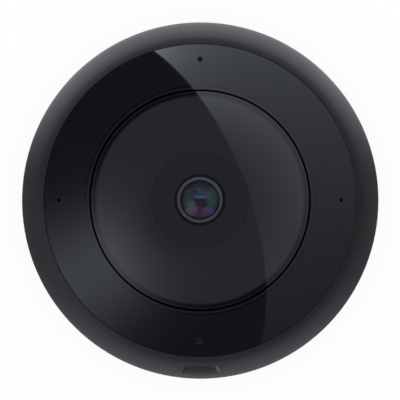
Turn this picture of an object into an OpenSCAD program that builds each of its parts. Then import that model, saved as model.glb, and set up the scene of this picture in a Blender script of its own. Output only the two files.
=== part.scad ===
// Round ceiling camera with one fisheye lens, lying on its back with the lens up.
// The origin is the centre of the mounting plate's back face, and +Y is the top of the picture.

/* [Shell] */
// Outer diameter of the shell
shell_d = 118; // [114:1:126]
// Wall thickness of the shell
shell_wall = 2.2; // [1.6:0.1:2.6]
// Radius of the rounded shoulder
shoulder_r = 15.6; // [14.6:0.1:16.6]
// Height of the shoulder's centre above the mounting face
shoulder_z = 20.5; // [19.5:0.5:23]
// Gap between the shell's lower rim and the ceiling
rim_gap = 1; // [0.5:0.1:1.5]

/* [Face] */
// Width of the satin ring between the shell's side and the front cover
ring_w = 7.7; // [7.5:0.1:9]
// Radius of the sphere that the whole face follows
face_sphere_r = 150; // [130:5:220]
// Wall thickness of the front cover
cover_wall = 2.2; // [1.6:0.1:2.6]
// Width of the dark seam between the shell and the front cover
seam_gap = 0.15; // [0.1:0.05:0.6]
// Width of the glossy ring round the groove
gloss_w = 15; // [14:0.1:16]
// Thickness of the dome window
window_wall = 2; // [1.4:0.1:2.4]
// Width of the groove round the dome window
groove_w = 0.65; // [0.5:0.05:1.2]
// Distance of the four ports from the front cover's edge
port_inset = 5; // [4.5:0.1:6]
// Diameter of a microphone hole
mic_hole_d = 1.1; // [0.8:0.1:1.6]

/* [Lens] */
// Outer diameter of the grey lens bezel
bezel_d = 15; // [14.4:0.1:15.6]
// Diameter of the front lens
front_lens_d = 12.6; // [12:0.1:13]
// Radius of the front lens's outer surface
front_lens_sphere_r = 9.5; // [8:0.5:14]
// Diameter of the lens barrel
barrel_d = 12; // [11.6:0.1:12.4]

/* [Mounting plate] */
// Thickness of the mounting plate
plate_t = 2.2; // [1.8:0.1:2.4]
// Distance from the shell's side in to the mounting plate's edge
plate_inset = 5.2; // [5:0.1:5.7]
// Distance from the plate's edge in to the middle of each wall box slot
box_slot_inset = 12.05; // [11.8:0.05:12.3]
// Distance from the bayonet wall in to the circle of the four ceiling screws
ceiling_screw_inset = 10; // [9:0.5:11]
// Distance from the ceiling screws in to the edge of the cable hole
cable_hole_inset = 6; // [5:0.5:8]
// Travel of the twist lock in degrees
twist_travel = 26; // [24:1:27]

/* [Buttons] */
// Travel of the release tab
release_travel = 1.5; // [1:0.1:1.7]
// Travel of the reset plunger
reset_travel = 0.5; // [0.3:0.1:0.6]

/* [Day and night filter] */
// Length of the drive arm from its pivot to its pin
drive_arm_r = 6; // [5.6:0.1:6.2]
// Swing of the drive arm in degrees
drive_swing = 60; // [50:5:60]

/* [Hidden] */
$fn = 96;

// Past a face, so that a cut goes right through it
overrun = 1;
// Clearance between pieces that move past each other
run_clear = 0.3;
// Clearance between pieces that are fixed together
fit_clear = 0.1;

// Shell and face, worked out from the sizes above
shell_r = shell_d / 2;
cover_r = shell_r - ring_w;
mouth_r = cover_r + seam_gap;
// The shoulder's circle runs a little proud of the side, which cuts it flat
shoulder_proud = 0.1;
shoulder_x = shell_r + shoulder_proud - shoulder_r;
mouth_z = shoulder_z + sqrt(pow(shoulder_r, 2) - pow(mouth_r - shoulder_x, 2));
// Drop of the narrow flat land that breaks the mouth's edge
mouth_land = 0.15;
// Height of the centre of the face's sphere, far below the camera
sphere_z = mouth_z - sqrt(pow(face_sphere_r, 2) - pow(cover_r, 2));
function face_z(r, depth = 0) = sphere_z + sqrt(pow(face_sphere_r - depth, 2) - r * r);

// Flange inside the shell, which carries the front cover
cover_edge_h = 3.08;
flange_t = 2.5;
flange_top = mouth_z - cover_edge_h;
flange_z = flange_top - flange_t;

// Front cover
cover_skirt_w = 2.1;
cover_edge_round = 0.35;
groove_outer_r = cover_r - gloss_w;
groove_wall = 1.6;
ledge_t = 1.6;
ledge_w = 3.6;
groove_lip_w = 0.8;
groove_lip_drop = 0.3;
groove_land_w = 0.4;
seal_t = 1;
window_r = groove_outer_r - groove_w;
port_ring_r = cover_r - port_inset;
window_bevel_w = 1.5;
window_bevel_drop = 0.1;
window_bore_r = 8.4;
ledge_top = face_z(window_r, window_wall) - seal_t - fit_clear;
ledge_z = ledge_top - ledge_t;
port_angles = [0, 180];
status_hole_d = 1.7;
sensor_window_w = 2.2;
cover_seal_r = 0.6;
cover_seal_gap = 0.15;

// Boards and their heights
board_t = 1.6;
thin_board_t = 1.2;
lamp_board_z = ledge_z - thin_board_t;
spacer_h = 2.4;
floor_inset = 9;
floor_r = shell_r - floor_inset;
board_inset = 3;
main_board_r = floor_r - board_inset;
// Room between the main board's underside and the lamp board's, which holds the sensor and the filter
stack_h = 11.34;
main_board_z = lamp_board_z - stack_h;
sensor_board_z = main_board_z + board_t + spacer_h;
sensor_board_x = 38;
sensor_board_y = 34;
sensor_board_y_shift = 2;
housing_z = sensor_board_z + thin_board_t;
lamp_board_inset = 0.4;
lamp_board_r = window_r - lamp_board_inset;
lamp_board_bore_r = 11.2;
face_board_room = 1.2;
face_board_in_r = groove_outer_r + groove_wall + face_board_room;
face_board_out_r = cover_r - cover_skirt_w - 2 * cover_seal_r - 2 * cover_seal_gap;

// Rear cover, whose floor clears the latch arm that runs over the plate's rim
plate_rim_h = 3.3;
tab_arm_t = 1.4;
tab_arm_z = plate_t + plate_rim_h + run_clear;
rear_z = tab_arm_z + tab_arm_t + run_clear;
rear_floor_t = 2.5;
rim_step = 1.5;
rear_rim_z = rear_z + rim_step;
rear_rim_r = shell_r - shell_wall - run_clear;
post_r = 3;
post_inset = 4.6;
post_ring_r = main_board_r - post_inset;
lug_wall_t = 1.8;
lug_reach = 3.2;
lug_t = 2;
lug_angle = 22;
lug_inset = 4;
lug_wall_r = floor_r - lug_inset;
lug_angles = [90, 210, 330];
rib_t = 1.6;
rib_h = 3;

// Mounting plate
hook_open_angle = 2;
hook_stop_angle = 4;
stop_clear_angle = 0.5;
hook_wall_t = 2;
hook_flange_t = 1.8;
hook_reach = 3.1;
plate_rim_t = 1.8;
slot_w = 4.5;
slot_l = 7.5;
ceiling_hole_d = 4.4;
lug_z = plate_t + run_clear + fit_clear;
hook_flange_z = lug_z + lug_t + run_clear;
hook_in_r = lug_wall_r + 2 * fit_clear + run_clear;
hook_out_r = hook_in_r + hook_reach + hook_wall_t;
plate_r = shell_r - plate_inset;
ceiling_screw_r = lug_wall_r - ceiling_screw_inset;
cable_hole_r = ceiling_screw_r - cable_hole_inset;
box_slot_x = plate_r - box_slot_inset;

// Recess in the shoulder at the bottom: a ramp that deepens from its lip inwards
notch_depth = 3.8;
notch_lip_inset = 1.2;
notch_drop = 1.8;
notch_in_w = 10.6;
notch_out_w = 13.4;
notch_wall_share = 0.28;
notch_end_share = 0.25;
notch_crown_r = 4.5;
notch_crown_land = 0.15;
notch_in_y = shell_r - notch_depth;
notch_lip_y = shell_r - notch_lip_inset;
function shoulder_height(y) = shoulder_z + sqrt(pow(shoulder_r, 2) - pow(y - shoulder_x, 2));
notch_floor_z = shoulder_height(notch_in_y) - notch_drop;
notch_ramp_angle = atan2(notch_floor_z - shoulder_height(notch_lip_y), notch_lip_y - notch_in_y);
notch_ramp_l = (notch_lip_y - notch_in_y) / cos(notch_ramp_angle);
notch_spread = (notch_out_w - notch_in_w) / 2 / notch_ramp_l;
notch_crown_drop = sqrt(pow(notch_crown_r, 2) - pow(notch_ramp_l / 2 - notch_crown_land, 2));

// Release tab in its window in the wall, under the recess
tab_w = 13.6;
tab_corner_r = 2;
tab_sill_h = 2.6;
tab_top_gap = 1.5;
tab_window_z = rim_gap + tab_sill_h;
tab_window_top = shoulder_z - tab_top_gap;
tab_wall = 2;
tab_arc_angle = 40;
tab_inset = 0.4;
tab_dish_r = 14;
tab_dish_depth = 0.7;
tab_flange_w = 1.2;
tab_flange_t = 1.4;
tab_arm_w = 6;
tooth_w = 5;
tooth_l = 3;
tooth_drop = 3.3;
tooth_out_r = plate_r - plate_rim_t / 2;
tab_depth = 8;
tab_back_gap = 2;
tab_back_y = notch_in_y - tab_back_gap;
spring_z = 17.5;
spring_r = 2;
spring_wire_r = 0.25;
spring_turns = 6;
spring_seat_inset = 1.4;
spring_seat_y = floor_r - spring_seat_inset;
spring_post_w = 5;
spring_pin_r = 1.2;
spring_pin_l = 2;

// Network jack on the back
jack_x = 16;
jack_y = 13.6;
jack_at_y = 19;
jack_socket_x = 11.9;
jack_socket_y = 7;
jack_back_t = 2.2;
jack_z = rear_z + 2 * fit_clear;
jack_socket_depth = main_board_z - jack_z - jack_back_t;
jack_key_x = 6.2;
jack_key_y = 2.2;
jack_seal_t = 1;
jack_contact_count = 8;
jack_contact_pitch = 1.02;
jack_contact_w = 0.45;
jack_contact_t = 0.3;
jack_contact_l = 8;
jack_contact_lean_share = 0.35;

// Power parts on the main board: the transformer's core and winding, and the capacitors
core_x = 9;
core_y = 11;
core_h = 6;
winding_x = 11;
winding_y = 7;
winding_h = 4.4;
core_at = [-main_board_r * 0.56, -main_board_r * 0.38];
capacitor_r = 2.4;
capacitor_h = 5.6;
capacitor_base_w = 5.2;
capacitor_base_h = 0.7;
capacitor_ring_r = main_board_r * 0.7;
capacitor_angles = [-54, -43, -32];
collar_t = 1.6;
collar_h = 6;

// Reset plunger on the back
plunger_r = 1.5;
plunger_flange_r = 2.6;
plunger_flange_t = 1;
plunger_at = [-22, 4];
plunger_sunk = 0.4;
switch_w = 5;
switch_h = 1.4;
switch_nub_r = 1.3;
switch_nub_h = 0.4;

// Fasteners
screw_r = 1.25;
screw_head_r = 2.3;
screw_head_h = 1.5;
screw_drive_r = 0.8;
screw_drive_depth = 0.8;
small_screw_r = 0.8;
small_head_r = 1.5;
small_head_h = 0.9;
housing_screw_inset = 5.3;
housing_screw_ring_r = rear_rim_r - housing_screw_inset;
housing_screw_angles = [45, 135, 225, 315];
boss_r = 2.9;
cover_screw_inset = 7.4;
cover_screw_ring_r = cover_r - cover_screw_inset;
cover_screw_edge = 3.6;
flange_bore_r = cover_screw_ring_r - cover_screw_edge;
cover_screw_angles = [22.5, 112.5, 202.5, 292.5];
post_angles = [45, 135, 225, 315];

// Lens stack
barrel_r = barrel_d / 2;
bezel_r = bezel_d / 2;
bezel_t = 1.1;
bezel_proud = 0.7;
bezel_top = face_z(0) + bezel_proud;
front_lens_r = front_lens_d / 2;
front_lens_dent = 1;
lens_head_h = 4.12;
head_z = bezel_top - bezel_t - lens_head_h;
holder_wall = 1.6;
holder_r = barrel_r + holder_wall;
head_gap = 0.8;
holder_top = head_z - head_gap;
housing_wall = 1;
housing_x = 27;
housing_y = 25;
housing_y_shift = 4.5;
lens_wall = 1.2;
shroud_r = 15.8;
shroud_bore_r = 7.8;
shroud_t = 2.4;

// Day and night filter
sensor_w = 11;
sensor_t = 1.4;
track_z = housing_z + sensor_t + run_clear;
track_t = 0.5;
carrier_t = 1;
carrier_x = 14;
carrier_y = 8.4;
pane_x = 5.2;
pane_y = 6.4;
pane_t = 0.8;
drive_pin_r = 0.5;
ear_w = 3.4;
ear_l = 3.2;
filter_travel = 2 * drive_arm_r * sin(drive_swing / 2);
pin_slack = 0.1;
drive_y = carrier_y / 2 + ear_l / 2 + drive_arm_r;
carrier_z = track_z + track_t + run_clear;
arm_z = carrier_z + carrier_t + run_clear;
arm_t = 0.6;
arm_w = 1.6;
rotor_r = 2;
pivot_r = 0.6;
housing_h = arm_z + arm_t + run_clear + housing_wall - housing_z;
holder_z = housing_z + housing_h;
barrel_z = holder_z + 0.6 * housing_wall;
rail_w = 0.8;

// A disc with a hole
module ring(out_r, in_r, z, h) {
    translate([0, 0, z])
        difference() {
            cylinder(r = out_r, h = h);
            translate([0, 0, -overrun])
                cylinder(r = in_r, h = h + 2 * overrun);
        }
}

// Part of a ring between two radii, as wide as angle and centred on +X
module arc_block(in_r, out_r, z, h, angle) {
    translate([0, 0, z])
        rotate([0, 0, -angle / 2])
            rotate_extrude(angle = angle)
                translate([in_r, 0])
                    square([out_r - in_r, h]);
}

// A box that stands on z and is centred in X and Y
module block(size_x, size_y, z, h, at = [0, 0]) {
    translate([at[0] - size_x / 2, at[1] - size_y / 2, z])
        cube([size_x, size_y, h]);
}

// Copies of a child round the axis at these angles
module around(angles, r = 0) {
    for (a = angles)
        rotate([0, 0, a])
            translate([r, 0, 0])
                children();
}

// A screw that points down from the seat of its head, with a star recess
module screw(shank_r, head_r, head_h, length) {
    difference() {
        union() {
            cylinder(r = head_r, h = head_h);
            translate([0, 0, -length])
                cylinder(r = shank_r, h = length);
        }
        translate([0, 0, head_h - screw_drive_depth * head_r / screw_head_r])
            cylinder(r = screw_drive_r * head_r / screw_head_r, h = head_h, $fn = 6);
    }
}

// Outline of the shell's outside, brought in by inset
module shell_outline(inset, low_z, top_z) {
    intersection() {
        translate([0, low_z])
            square([shell_r - inset, top_z - low_z]);
        union() {
            translate([0, low_z])
                square([shell_r + overrun, shoulder_z - low_z]);
            translate([shoulder_x, shoulder_z])
                circle(r = shoulder_r - inset);
        }
    }
}

// Cutter of the recess: it stands on a crowned ramp and widens upwards to its inner wall and ends
module shoulder_recess() {
    rise = 2 * notch_drop;
    translate([0, -notch_in_y, notch_floor_z])
        rotate([notch_ramp_angle, 0, 0])
            difference() {
                hull() {
                    recess_slice(0, 0, 0);
                    recess_slice(rise, rise * (tan(notch_ramp_angle) + notch_wall_share), rise * notch_end_share);
                }
                translate([-notch_out_w, -notch_ramp_l / 2, -notch_crown_drop])
                    rotate([0, 90, 0])
                        cylinder(r = notch_crown_r, h = 2 * notch_out_w, $fn = 96);
            }
}

// A slice of that cutter at a height over the ramp, from back behind its inner edge, wider by grow
module recess_slice(height, back, grow) {
    far = notch_ramp_l + notch_lip_inset;
    in_x = notch_in_w / 2 - back * notch_spread + grow;
    out_x = notch_in_w / 2 + far * notch_spread + grow;
    translate([0, 0, height])
        linear_extrude(overrun)
            polygon([[-in_x, back], [in_x, back], [out_x, -far], [-out_x, -far]]);
}

// Space of the tab's window, wider by grow all round, from the outside in to back_y
module tab_window(grow, back_y) {
    depth = shell_r + overrun - back_y;
    x = tab_w / 2 + grow;
    z = (tab_window_top - tab_window_z) / 2 + grow;
    r = tab_corner_r + grow;
    translate([0, -back_y, (tab_window_top + tab_window_z) / 2])
        rotate([90, 0, 0]) {
            translate([r - x, -z, 0])
                cube([2 * (x - r), 2 * z, depth]);
            translate([-x, r - z, 0])
                cube([2 * x, 2 * (z - r), depth]);
            for (side_x = [-1, 1], side_z = [-1, 1])
                translate([side_x * (x - r), side_z * (z - r), 0])
                    cylinder(r = r, h = depth);
        }
}

module outer_shell() {
    color("#2b2d30")
        difference() {
            union() {
                rotate_extrude($fn = 180)
                    difference() {
                        shell_outline(0, rim_gap, mouth_z - mouth_land);
                        difference() {
                            shell_outline(shell_wall, rim_gap - overrun, mouth_z + overrun);
                            translate([flange_bore_r, flange_z])
                                square([shell_r - flange_bore_r, flange_t]);
                        }
                        translate([0, rim_gap - overrun])
                            square([flange_bore_r, 2 * mouth_z]);
                        translate([0, flange_top])
                            square([mouth_r, mouth_z]);
                    }
                around(housing_screw_angles, housing_screw_ring_r)
                    shell_boss();
            }
            around(housing_screw_angles, housing_screw_ring_r)
                translate([0, 0, rear_rim_z + rear_floor_t - overrun])
                    cylinder(r = screw_r, h = flange_z - rear_rim_z - rear_floor_t - flange_t);
            around(cover_screw_angles, cover_screw_ring_r)
                translate([0, 0, flange_z - overrun])
                    cylinder(r = screw_r + fit_clear, h = flange_t + 2 * overrun);
            tab_window(0, tab_back_y - release_travel - run_clear);
            shoulder_recess();
        }
}

// A screw boss under the shell's flange, tied to the wall by a rib
module shell_boss() {
    boss_z = rear_rim_z + rear_floor_t;
    translate([0, 0, boss_z]) {
        cylinder(r = boss_r, h = flange_z + flange_t / 2 - boss_z);
        translate([0, -rib_t / 2, 0])
            cube([shell_r - shell_wall / 2 - housing_screw_ring_r, rib_t, shoulder_z - boss_z]);
    }
}

module front_cover() {
    color("#121315")
        difference() {
            union() {
                rotate_extrude($fn = 180)
                    front_cover_outline();
                around(cover_screw_angles, cover_screw_ring_r)
                    translate([0, 0, flange_top])
                        cylinder(r = boss_r, h = face_z(cover_screw_ring_r, cover_wall) - flange_top
                            + cover_wall / 3);
            }
            around(cover_screw_angles, cover_screw_ring_r)
                translate([0, 0, flange_top - overrun])
                    cylinder(r = screw_r, h = face_z(cover_screw_ring_r, cover_wall) - flange_top);
            around(port_angles, port_ring_r)
                translate([0, 0, flange_top])
                    cylinder(d = mic_hole_d, h = mouth_z, $fn = 48);
            around([90], port_ring_r)
                translate([0, 0, flange_top])
                    cylinder(d = status_hole_d, h = mouth_z, $fn = 48);
            block(sensor_window_w, sensor_window_w, flange_top, mouth_z, [0, -port_ring_r]);
        }
}

// Half section of the front cover: a domed skin, a skirt, the groove's wall and the window's ledge
module front_cover_outline() {
    ring_z = ledge_z;
    difference() {
        intersection() {
            translate([groove_outer_r - ledge_w, flange_top])
                square([cover_r - groove_outer_r + ledge_w, mouth_z]);
            translate([0, sphere_z])
                circle(r = face_sphere_r, $fn = 720);
        }
        // Hollow between the groove's wall and the skirt
        intersection() {
            translate([groove_outer_r + groove_wall, flange_top - overrun])
                square([cover_r - cover_skirt_w - groove_outer_r - groove_wall, mouth_z]);
            translate([0, sphere_z])
                circle(r = face_sphere_r - cover_wall, $fn = 720);
        }
        // Well of the window above the ledge, with its lip
        translate([0, ledge_top])
            square([groove_outer_r, mouth_z]);
        groove_lip_outline();
        translate([0, flange_top - overrun])
            square([groove_outer_r + groove_wall + overrun, ring_z - flange_top + overrun]);
        // Edge break at the outer rim
        translate([cover_r, face_z(cover_r)])
            rotate([0, 0, 45])
                square([cover_edge_round, cover_edge_round], center = true);
    }
}

// What the groove's lip takes off the dome: a narrow level land, then a slope down to the groove
module groove_lip_outline() {
    lip_r = groove_outer_r + groove_lip_w;
    land_r = lip_r + groove_land_w;
    slope = groove_lip_drop / groove_lip_w;
    polygon([
        [land_r, face_z(land_r)],
        [lip_r, face_z(land_r)],
        [groove_outer_r - overrun, face_z(land_r) - groove_lip_drop - overrun * slope],
        [groove_outer_r - overrun, face_z(0)],
        [land_r, face_z(0)]
    ]);
}

module cover_seal() {
    color("#202020")
        translate([0, 0, flange_top])
            rotate_extrude()
                translate([cover_r - cover_skirt_w - cover_seal_gap - cover_seal_r, cover_seal_r])
                    circle(r = cover_seal_r, $fn = 24);
}

module dome_window() {
    color("#242529", 0.9)
        rotate_extrude($fn = 180)
            difference() {
                intersection() {
                    translate([window_bore_r, ledge_top])
                        square([window_r - window_bore_r, mouth_z]);
                    difference() {
                        translate([0, sphere_z])
                            circle(r = face_sphere_r, $fn = 720);
                        translate([0, sphere_z])
                            circle(r = face_sphere_r - window_wall, $fn = 720);
                    }
                }
                polygon([
                    [window_r - window_bevel_w, face_z(window_r - window_bevel_w)],
                    [window_r + overrun, face_z(window_r) - window_bevel_drop
                        - overrun * window_bevel_drop / window_bevel_w],
                    [window_r + overrun, face_z(0) + overrun],
                    [window_r - window_bevel_w, face_z(0) + overrun]
                ]);
            }
}

module window_seal() {
    color("#1a1a1a")
        ring(window_r - 2 * fit_clear, groove_outer_r - ledge_w + 2 * fit_clear, ledge_top, seal_t);
}

// Stray-light guard between the lens and the lamps, up to the underside of the window
module lens_shroud() {
    guard_t = 1.2;
    color("#0c0c0d")
        rotate_extrude()
            difference() {
                intersection() {
                    translate([shroud_bore_r, ledge_z])
                        square([shroud_r - shroud_bore_r, mouth_z]);
                    translate([0, sphere_z])
                        circle(r = face_sphere_r - window_wall - fit_clear, $fn = 720);
                }
                translate([0, ledge_z - overrun])
                    square([shroud_r - guard_t,
                        face_z(shroud_r, window_wall) - shroud_t - ledge_z + overrun]);
            }
}

module lens_bezel() {
    lip_r = front_lens_r - 2 * fit_clear;
    color("#3b3b3f")
        translate([0, 0, bezel_top - bezel_t])
            rotate_extrude()
                polygon([
                    [front_lens_r + fit_clear, 0],
                    [bezel_r, 0],
                    [bezel_r, bezel_t * 0.6],
                    [bezel_r - bezel_t / 3, bezel_t],
                    [lip_r + bezel_t / 2, bezel_t],
                    [lip_r, bezel_t * 0.6],
                    [lip_r, bezel_t * 0.45],
                    [front_lens_r + fit_clear, bezel_t * 0.45]
                ]);
}

// A lens on the axis: a cylinder with a domed top and, where dent is above 0, a hollow below
module lens(r, low_z, top_z, top_sphere_r, dent = 0) {
    low_sphere_r = dent > 0 ? (pow(r * 0.75, 2) + dent * dent) / (2 * dent) : 0;
    rotate_extrude()
        difference() {
            intersection() {
                translate([0, low_z])
                    square([r, top_z - low_z]);
                translate([0, top_z - top_sphere_r])
                    circle(r = top_sphere_r, $fn = 180);
            }
            if (dent > 0)
                translate([0, low_z + dent - low_sphere_r])
                    circle(r = low_sphere_r, $fn = 180);
        }
}

module front_lens() {
    edge_z = bezel_top - bezel_t * 0.85;
    sag = front_lens_sphere_r - sqrt(pow(front_lens_sphere_r, 2) - pow(front_lens_r, 2));
    color("#20242e", 0.8)
        lens(front_lens_r, head_top(), edge_z + sag, front_lens_sphere_r, front_lens_dent);
}

function head_top() = bezel_top - bezel_t;

// Three inner elements, each in its own step of the barrel
inner_lens_radii = [5, 4.2, 3.4];
inner_lens_z_shares = [0.52, 0.27, 0.04];
inner_lens_t_shares = [0.26, 0.2, 0.18];
module inner_lenses() {
    length = head_top() - barrel_z;
    color("#8fa3b0", 0.6)
        for (i = [0 : len(inner_lens_radii) - 1])
            lens(inner_lens_radii[i], barrel_z + length * inner_lens_z_shares[i],
                barrel_z + length * (inner_lens_z_shares[i] + inner_lens_t_shares[i]),
                inner_lens_radii[i] * 2);
}

module lens_barrel() {
    length = head_top() - barrel_z;
    color("#161617")
        difference() {
            union() {
                translate([0, 0, barrel_z])
                    cylinder(r = barrel_r, h = length);
                translate([0, 0, head_z])
                    cylinder(r = bezel_r - fit_clear, h = head_top() - head_z);
            }
            for (i = [0 : len(inner_lens_radii) - 1])
                translate([0, 0, barrel_z + length * inner_lens_z_shares[i]])
                    cylinder(r = inner_lens_radii[i], h = length);
            translate([0, 0, barrel_z - overrun])
                cylinder(r = inner_lens_radii[2] - lens_wall / 2, h = length);
        }
}

module lens_holder() {
    color("#1c1c1e")
        difference() {
            union() {
                translate([0, 0, holder_z])
                    cylinder(r = holder_r, h = holder_top - holder_z);
                block(2 * holder_r, 2 * holder_r, holder_z, lens_wall);
            }
            translate([0, 0, holder_z - overrun])
                cylinder(r = barrel_r, h = holder_top);
        }
}

// Box round the sensor, with the track that the carrier slides on and a bay for the drive
module filter_housing() {
    inner_x = housing_x - 2 * housing_wall;
    inner_y = housing_y - 2 * housing_wall;
    at = [0, housing_y_shift];
    color("#232325")
        difference() {
            block(housing_x, housing_y, housing_z, housing_h, at);
            // Bay for the sensor below the track
            block(sensor_w + 4 * fit_clear, sensor_w + 4 * fit_clear, housing_z - overrun,
                track_z - housing_z + overrun);
            // Bay for the carrier and the arm above the track
            block(inner_x, inner_y, track_z + track_t, housing_z + housing_h - housing_wall - track_z
                - track_t, at);
            // Light passes through the floor and the lid
            translate([0, 0, housing_z - overrun])
                cylinder(r = pane_x / 2, h = housing_h + 2 * overrun);
            translate([0, 0, track_z + track_t])
                cylinder(r = barrel_r - lens_wall, h = housing_h);
            translate([0, drive_y, track_z - overrun])
                cylinder(r = pivot_r + run_clear / 6, h = track_t + 2 * overrun);
        }
    color("#232325")
        carrier_rails();
}

// Rails at both sides of the carrier, open in the middle where its ear passes
module carrier_rails() {
    rail_y = carrier_y / 2 + run_clear + rail_w / 2;
    ear_room = ear_w + filter_travel + 2 * run_clear;
    end_l = (housing_x - ear_room) / 2;
    block(housing_x - housing_wall, rail_w, track_z, carrier_z + carrier_t - track_z, [0, -rail_y]);
    for (side = [-1, 1])
        block(end_l - housing_wall / 2, rail_w, track_z, carrier_z + carrier_t - track_z,
            [side * (ear_room + end_l - housing_wall / 2) / 2, rail_y]);
}

// Middle of the carrier at rest, with the infrared-cut pane over the sensor
carrier_at = [-filter_travel / 2, 0];

module filter_carrier() {
    slot_half = drive_pin_r + pin_slack;
    pin_y = drive_y - drive_arm_r;
    rise = drive_arm_r * (1 - cos(drive_swing / 2));
    color("#3a3a3c")
        difference() {
            union() {
                block(carrier_x, carrier_y, carrier_z, carrier_t, carrier_at);
                block(ear_w, ear_l + rise + drive_pin_r, carrier_z, carrier_t,
                    [carrier_at[0], carrier_y / 2 + (ear_l + rise + drive_pin_r) / 2 - fit_clear]);
            }
            for (side = [-1, 1])
                block(pane_x + 2 * fit_clear, pane_y + 2 * fit_clear, carrier_z - overrun,
                    carrier_t + 2 * overrun, [carrier_at[0] + side * filter_travel / 2, 0]);
            block(2 * slot_half, rise + 2 * slot_half, carrier_z - overrun, carrier_t + 2 * overrun,
                [carrier_at[0], pin_y + rise / 2]);
        }
}

module filter_panes() {
    color("#7a3a4a", 0.6)
        for (side = [-1, 1])
            block(pane_x, pane_y, carrier_z + (carrier_t - pane_t) / 2, pane_t,
                [carrier_at[0] + side * filter_travel / 2, 0]);
}

// Magnet rotor on its pivot, with the arm and the pin that moves the carrier
module drive_arm() {
    color("#9a9a9c")
        translate([0, drive_y, 0])
            rotate([0, 0, -drive_swing / 2]) {
                translate([0, 0, track_z + track_t + run_clear])
                    cylinder(r = rotor_r, h = arm_z + arm_t - track_z - track_t - run_clear);
                translate([0, 0, track_z + fit_clear])
                    cylinder(r = pivot_r, h = track_t + run_clear);
                block(arm_w, drive_arm_r, arm_z, arm_t, [0, -drive_arm_r / 2]);
                translate([0, -drive_arm_r, carrier_z])
                    cylinder(r = drive_pin_r, h = arm_z + arm_t - carrier_z);
                translate([0, -drive_arm_r, arm_z])
                    cylinder(r = arm_w / 2, h = arm_t);
            }
}

module drive_coil() {
    coil_x = 8;
    coil_y = 3;
    color("#b06a34")
        difference() {
            block(coil_x, coil_y, track_z + track_t, housing_h / 3,
                [0, housing_y_shift + housing_y / 2 - housing_wall - coil_y / 2]);
            translate([0, drive_y, track_z])
                cylinder(r = rotor_r + run_clear, h = housing_h);
        }
}

module image_sensor() {
    color("#5b6b52")
        difference() {
            block(sensor_w, sensor_w, housing_z, sensor_t);
            block(pane_x, pane_x, housing_z + sensor_t - fit_clear, overrun);
        }
}

sensor_hole_shares = [0.42, 0.42];
function corner(sx, sy) = [
    sx * sensor_board_x * sensor_hole_shares[0],
    sy * sensor_board_y * sensor_hole_shares[1] + sensor_board_y_shift
];

module at_sensor_corners() {
    for (sx = [-1, 1])
        for (sy = [-1, 1])
            translate([corner(sx, sy)[0], corner(sx, sy)[1], 0])
                children();
}

module sensor_board() {
    color("#1d4a2c")
        difference() {
            block(sensor_board_x, sensor_board_y, sensor_board_z, thin_board_t,
                [0, sensor_board_y_shift]);
            at_sensor_corners()
                translate([0, 0, sensor_board_z - overrun])
                    cylinder(r = small_screw_r + fit_clear, h = thin_board_t + 2 * overrun);
        }
}

module board_spacers() {
    color("#c2a15a")
        at_sensor_corners()
            ring(2 * small_screw_r + 2 * fit_clear, small_screw_r + fit_clear,
                main_board_z + board_t, spacer_h);
}

module board_connector() {
    connector_x = 20;
    connector_y = 4;
    color("#d9d4c4")
        block(connector_x, connector_y, main_board_z + board_t, spacer_h, [0, -sensor_board_y / 4]);
}

module main_board() {
    color("#1d4a2c")
        difference() {
            translate([0, 0, main_board_z])
                cylinder(r = main_board_r, h = board_t);
            around(post_angles, post_ring_r)
                translate([0, 0, main_board_z - overrun])
                    cylinder(r = screw_r + fit_clear, h = board_t + 2 * overrun);
        }
}

processor_w = 15;
pedestal_w = 20;
processor_at = [0, -14];
processor_t = 1.6;
pad_t = 1;
pad_z = main_board_z - processor_t - pad_t;

module processor() {
    color("#2a2a2c")
        block(processor_w, processor_w, main_board_z - processor_t, processor_t, processor_at);
}

module thermal_pad() {
    color("#8d97a6")
        block(processor_w, processor_w, pad_z, pad_t, processor_at);
}

// Cast base: floor, raised rim, board posts, cooling pedestal, jack collar and bayonet lugs
module rear_cover() {
    floor_top = rear_z + rear_floor_t;
    color("#3c3e41")
        difference() {
            union() {
                translate([0, 0, rear_z])
                    cylinder(r = floor_r, h = rear_floor_t);
                ring(rear_rim_r, floor_r - rear_floor_t, rear_rim_z, rear_floor_t);
                around(post_angles, post_ring_r)
                    translate([0, 0, rear_z])
                        cylinder(r = post_r, h = main_board_z - rear_z);
                block(pedestal_w, pedestal_w, rear_z, pad_z - rear_z, processor_at);
                block(jack_x + 2 * jack_seal_t + 2 * collar_t, jack_y + 2 * jack_seal_t + 2 * collar_t,
                    rear_z, collar_h, [0, jack_at_y]);
                translate([plunger_at[0], plunger_at[1], rear_z])
                    cylinder(r = plunger_flange_r + rib_t, h = rear_floor_t + plunger_flange_t + 2 * run_clear);
                spring_post();
                cooling_ribs();
                bayonet_lugs();
            }
            around(post_angles, post_ring_r)
                translate([0, 0, floor_top])
                    cylinder(r = screw_r, h = main_board_z);
            around(housing_screw_angles, housing_screw_ring_r) {
                translate([0, 0, rear_z])
                    cylinder(r = screw_r + fit_clear, h = 2 * rear_floor_t);
                translate([0, 0, rear_z - overrun])
                    cylinder(r = screw_head_r + fit_clear, h = screw_head_h + overrun);
            }
            block(jack_x + 2 * jack_seal_t, jack_y + 2 * jack_seal_t, rear_z - overrun,
                main_board_z, [0, jack_at_y]);
            translate([plunger_at[0], plunger_at[1], 0]) {
                translate([0, 0, rear_z - overrun])
                    cylinder(r = plunger_r + run_clear, h = main_board_z);
                translate([0, 0, floor_top])
                    cylinder(r = plunger_flange_r + run_clear, h = main_board_z);
            }
            // Gap in the rim that the release tab moves in
            block(tab_w + 2 * tab_flange_w + 4 * run_clear, shell_r, rear_rim_z - overrun,
                rear_floor_t + 2 * overrun, [0, -shell_r / 2 - floor_r - 2 * run_clear]);
        }
}

// Post that the release spring pushes against
module spring_post() {
    block(spring_post_w + rib_t, spring_post_w, rear_z, spring_z + spring_r + rib_t - rear_z,
        [0, -spring_seat_y + spring_post_w / 2]);
}

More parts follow.
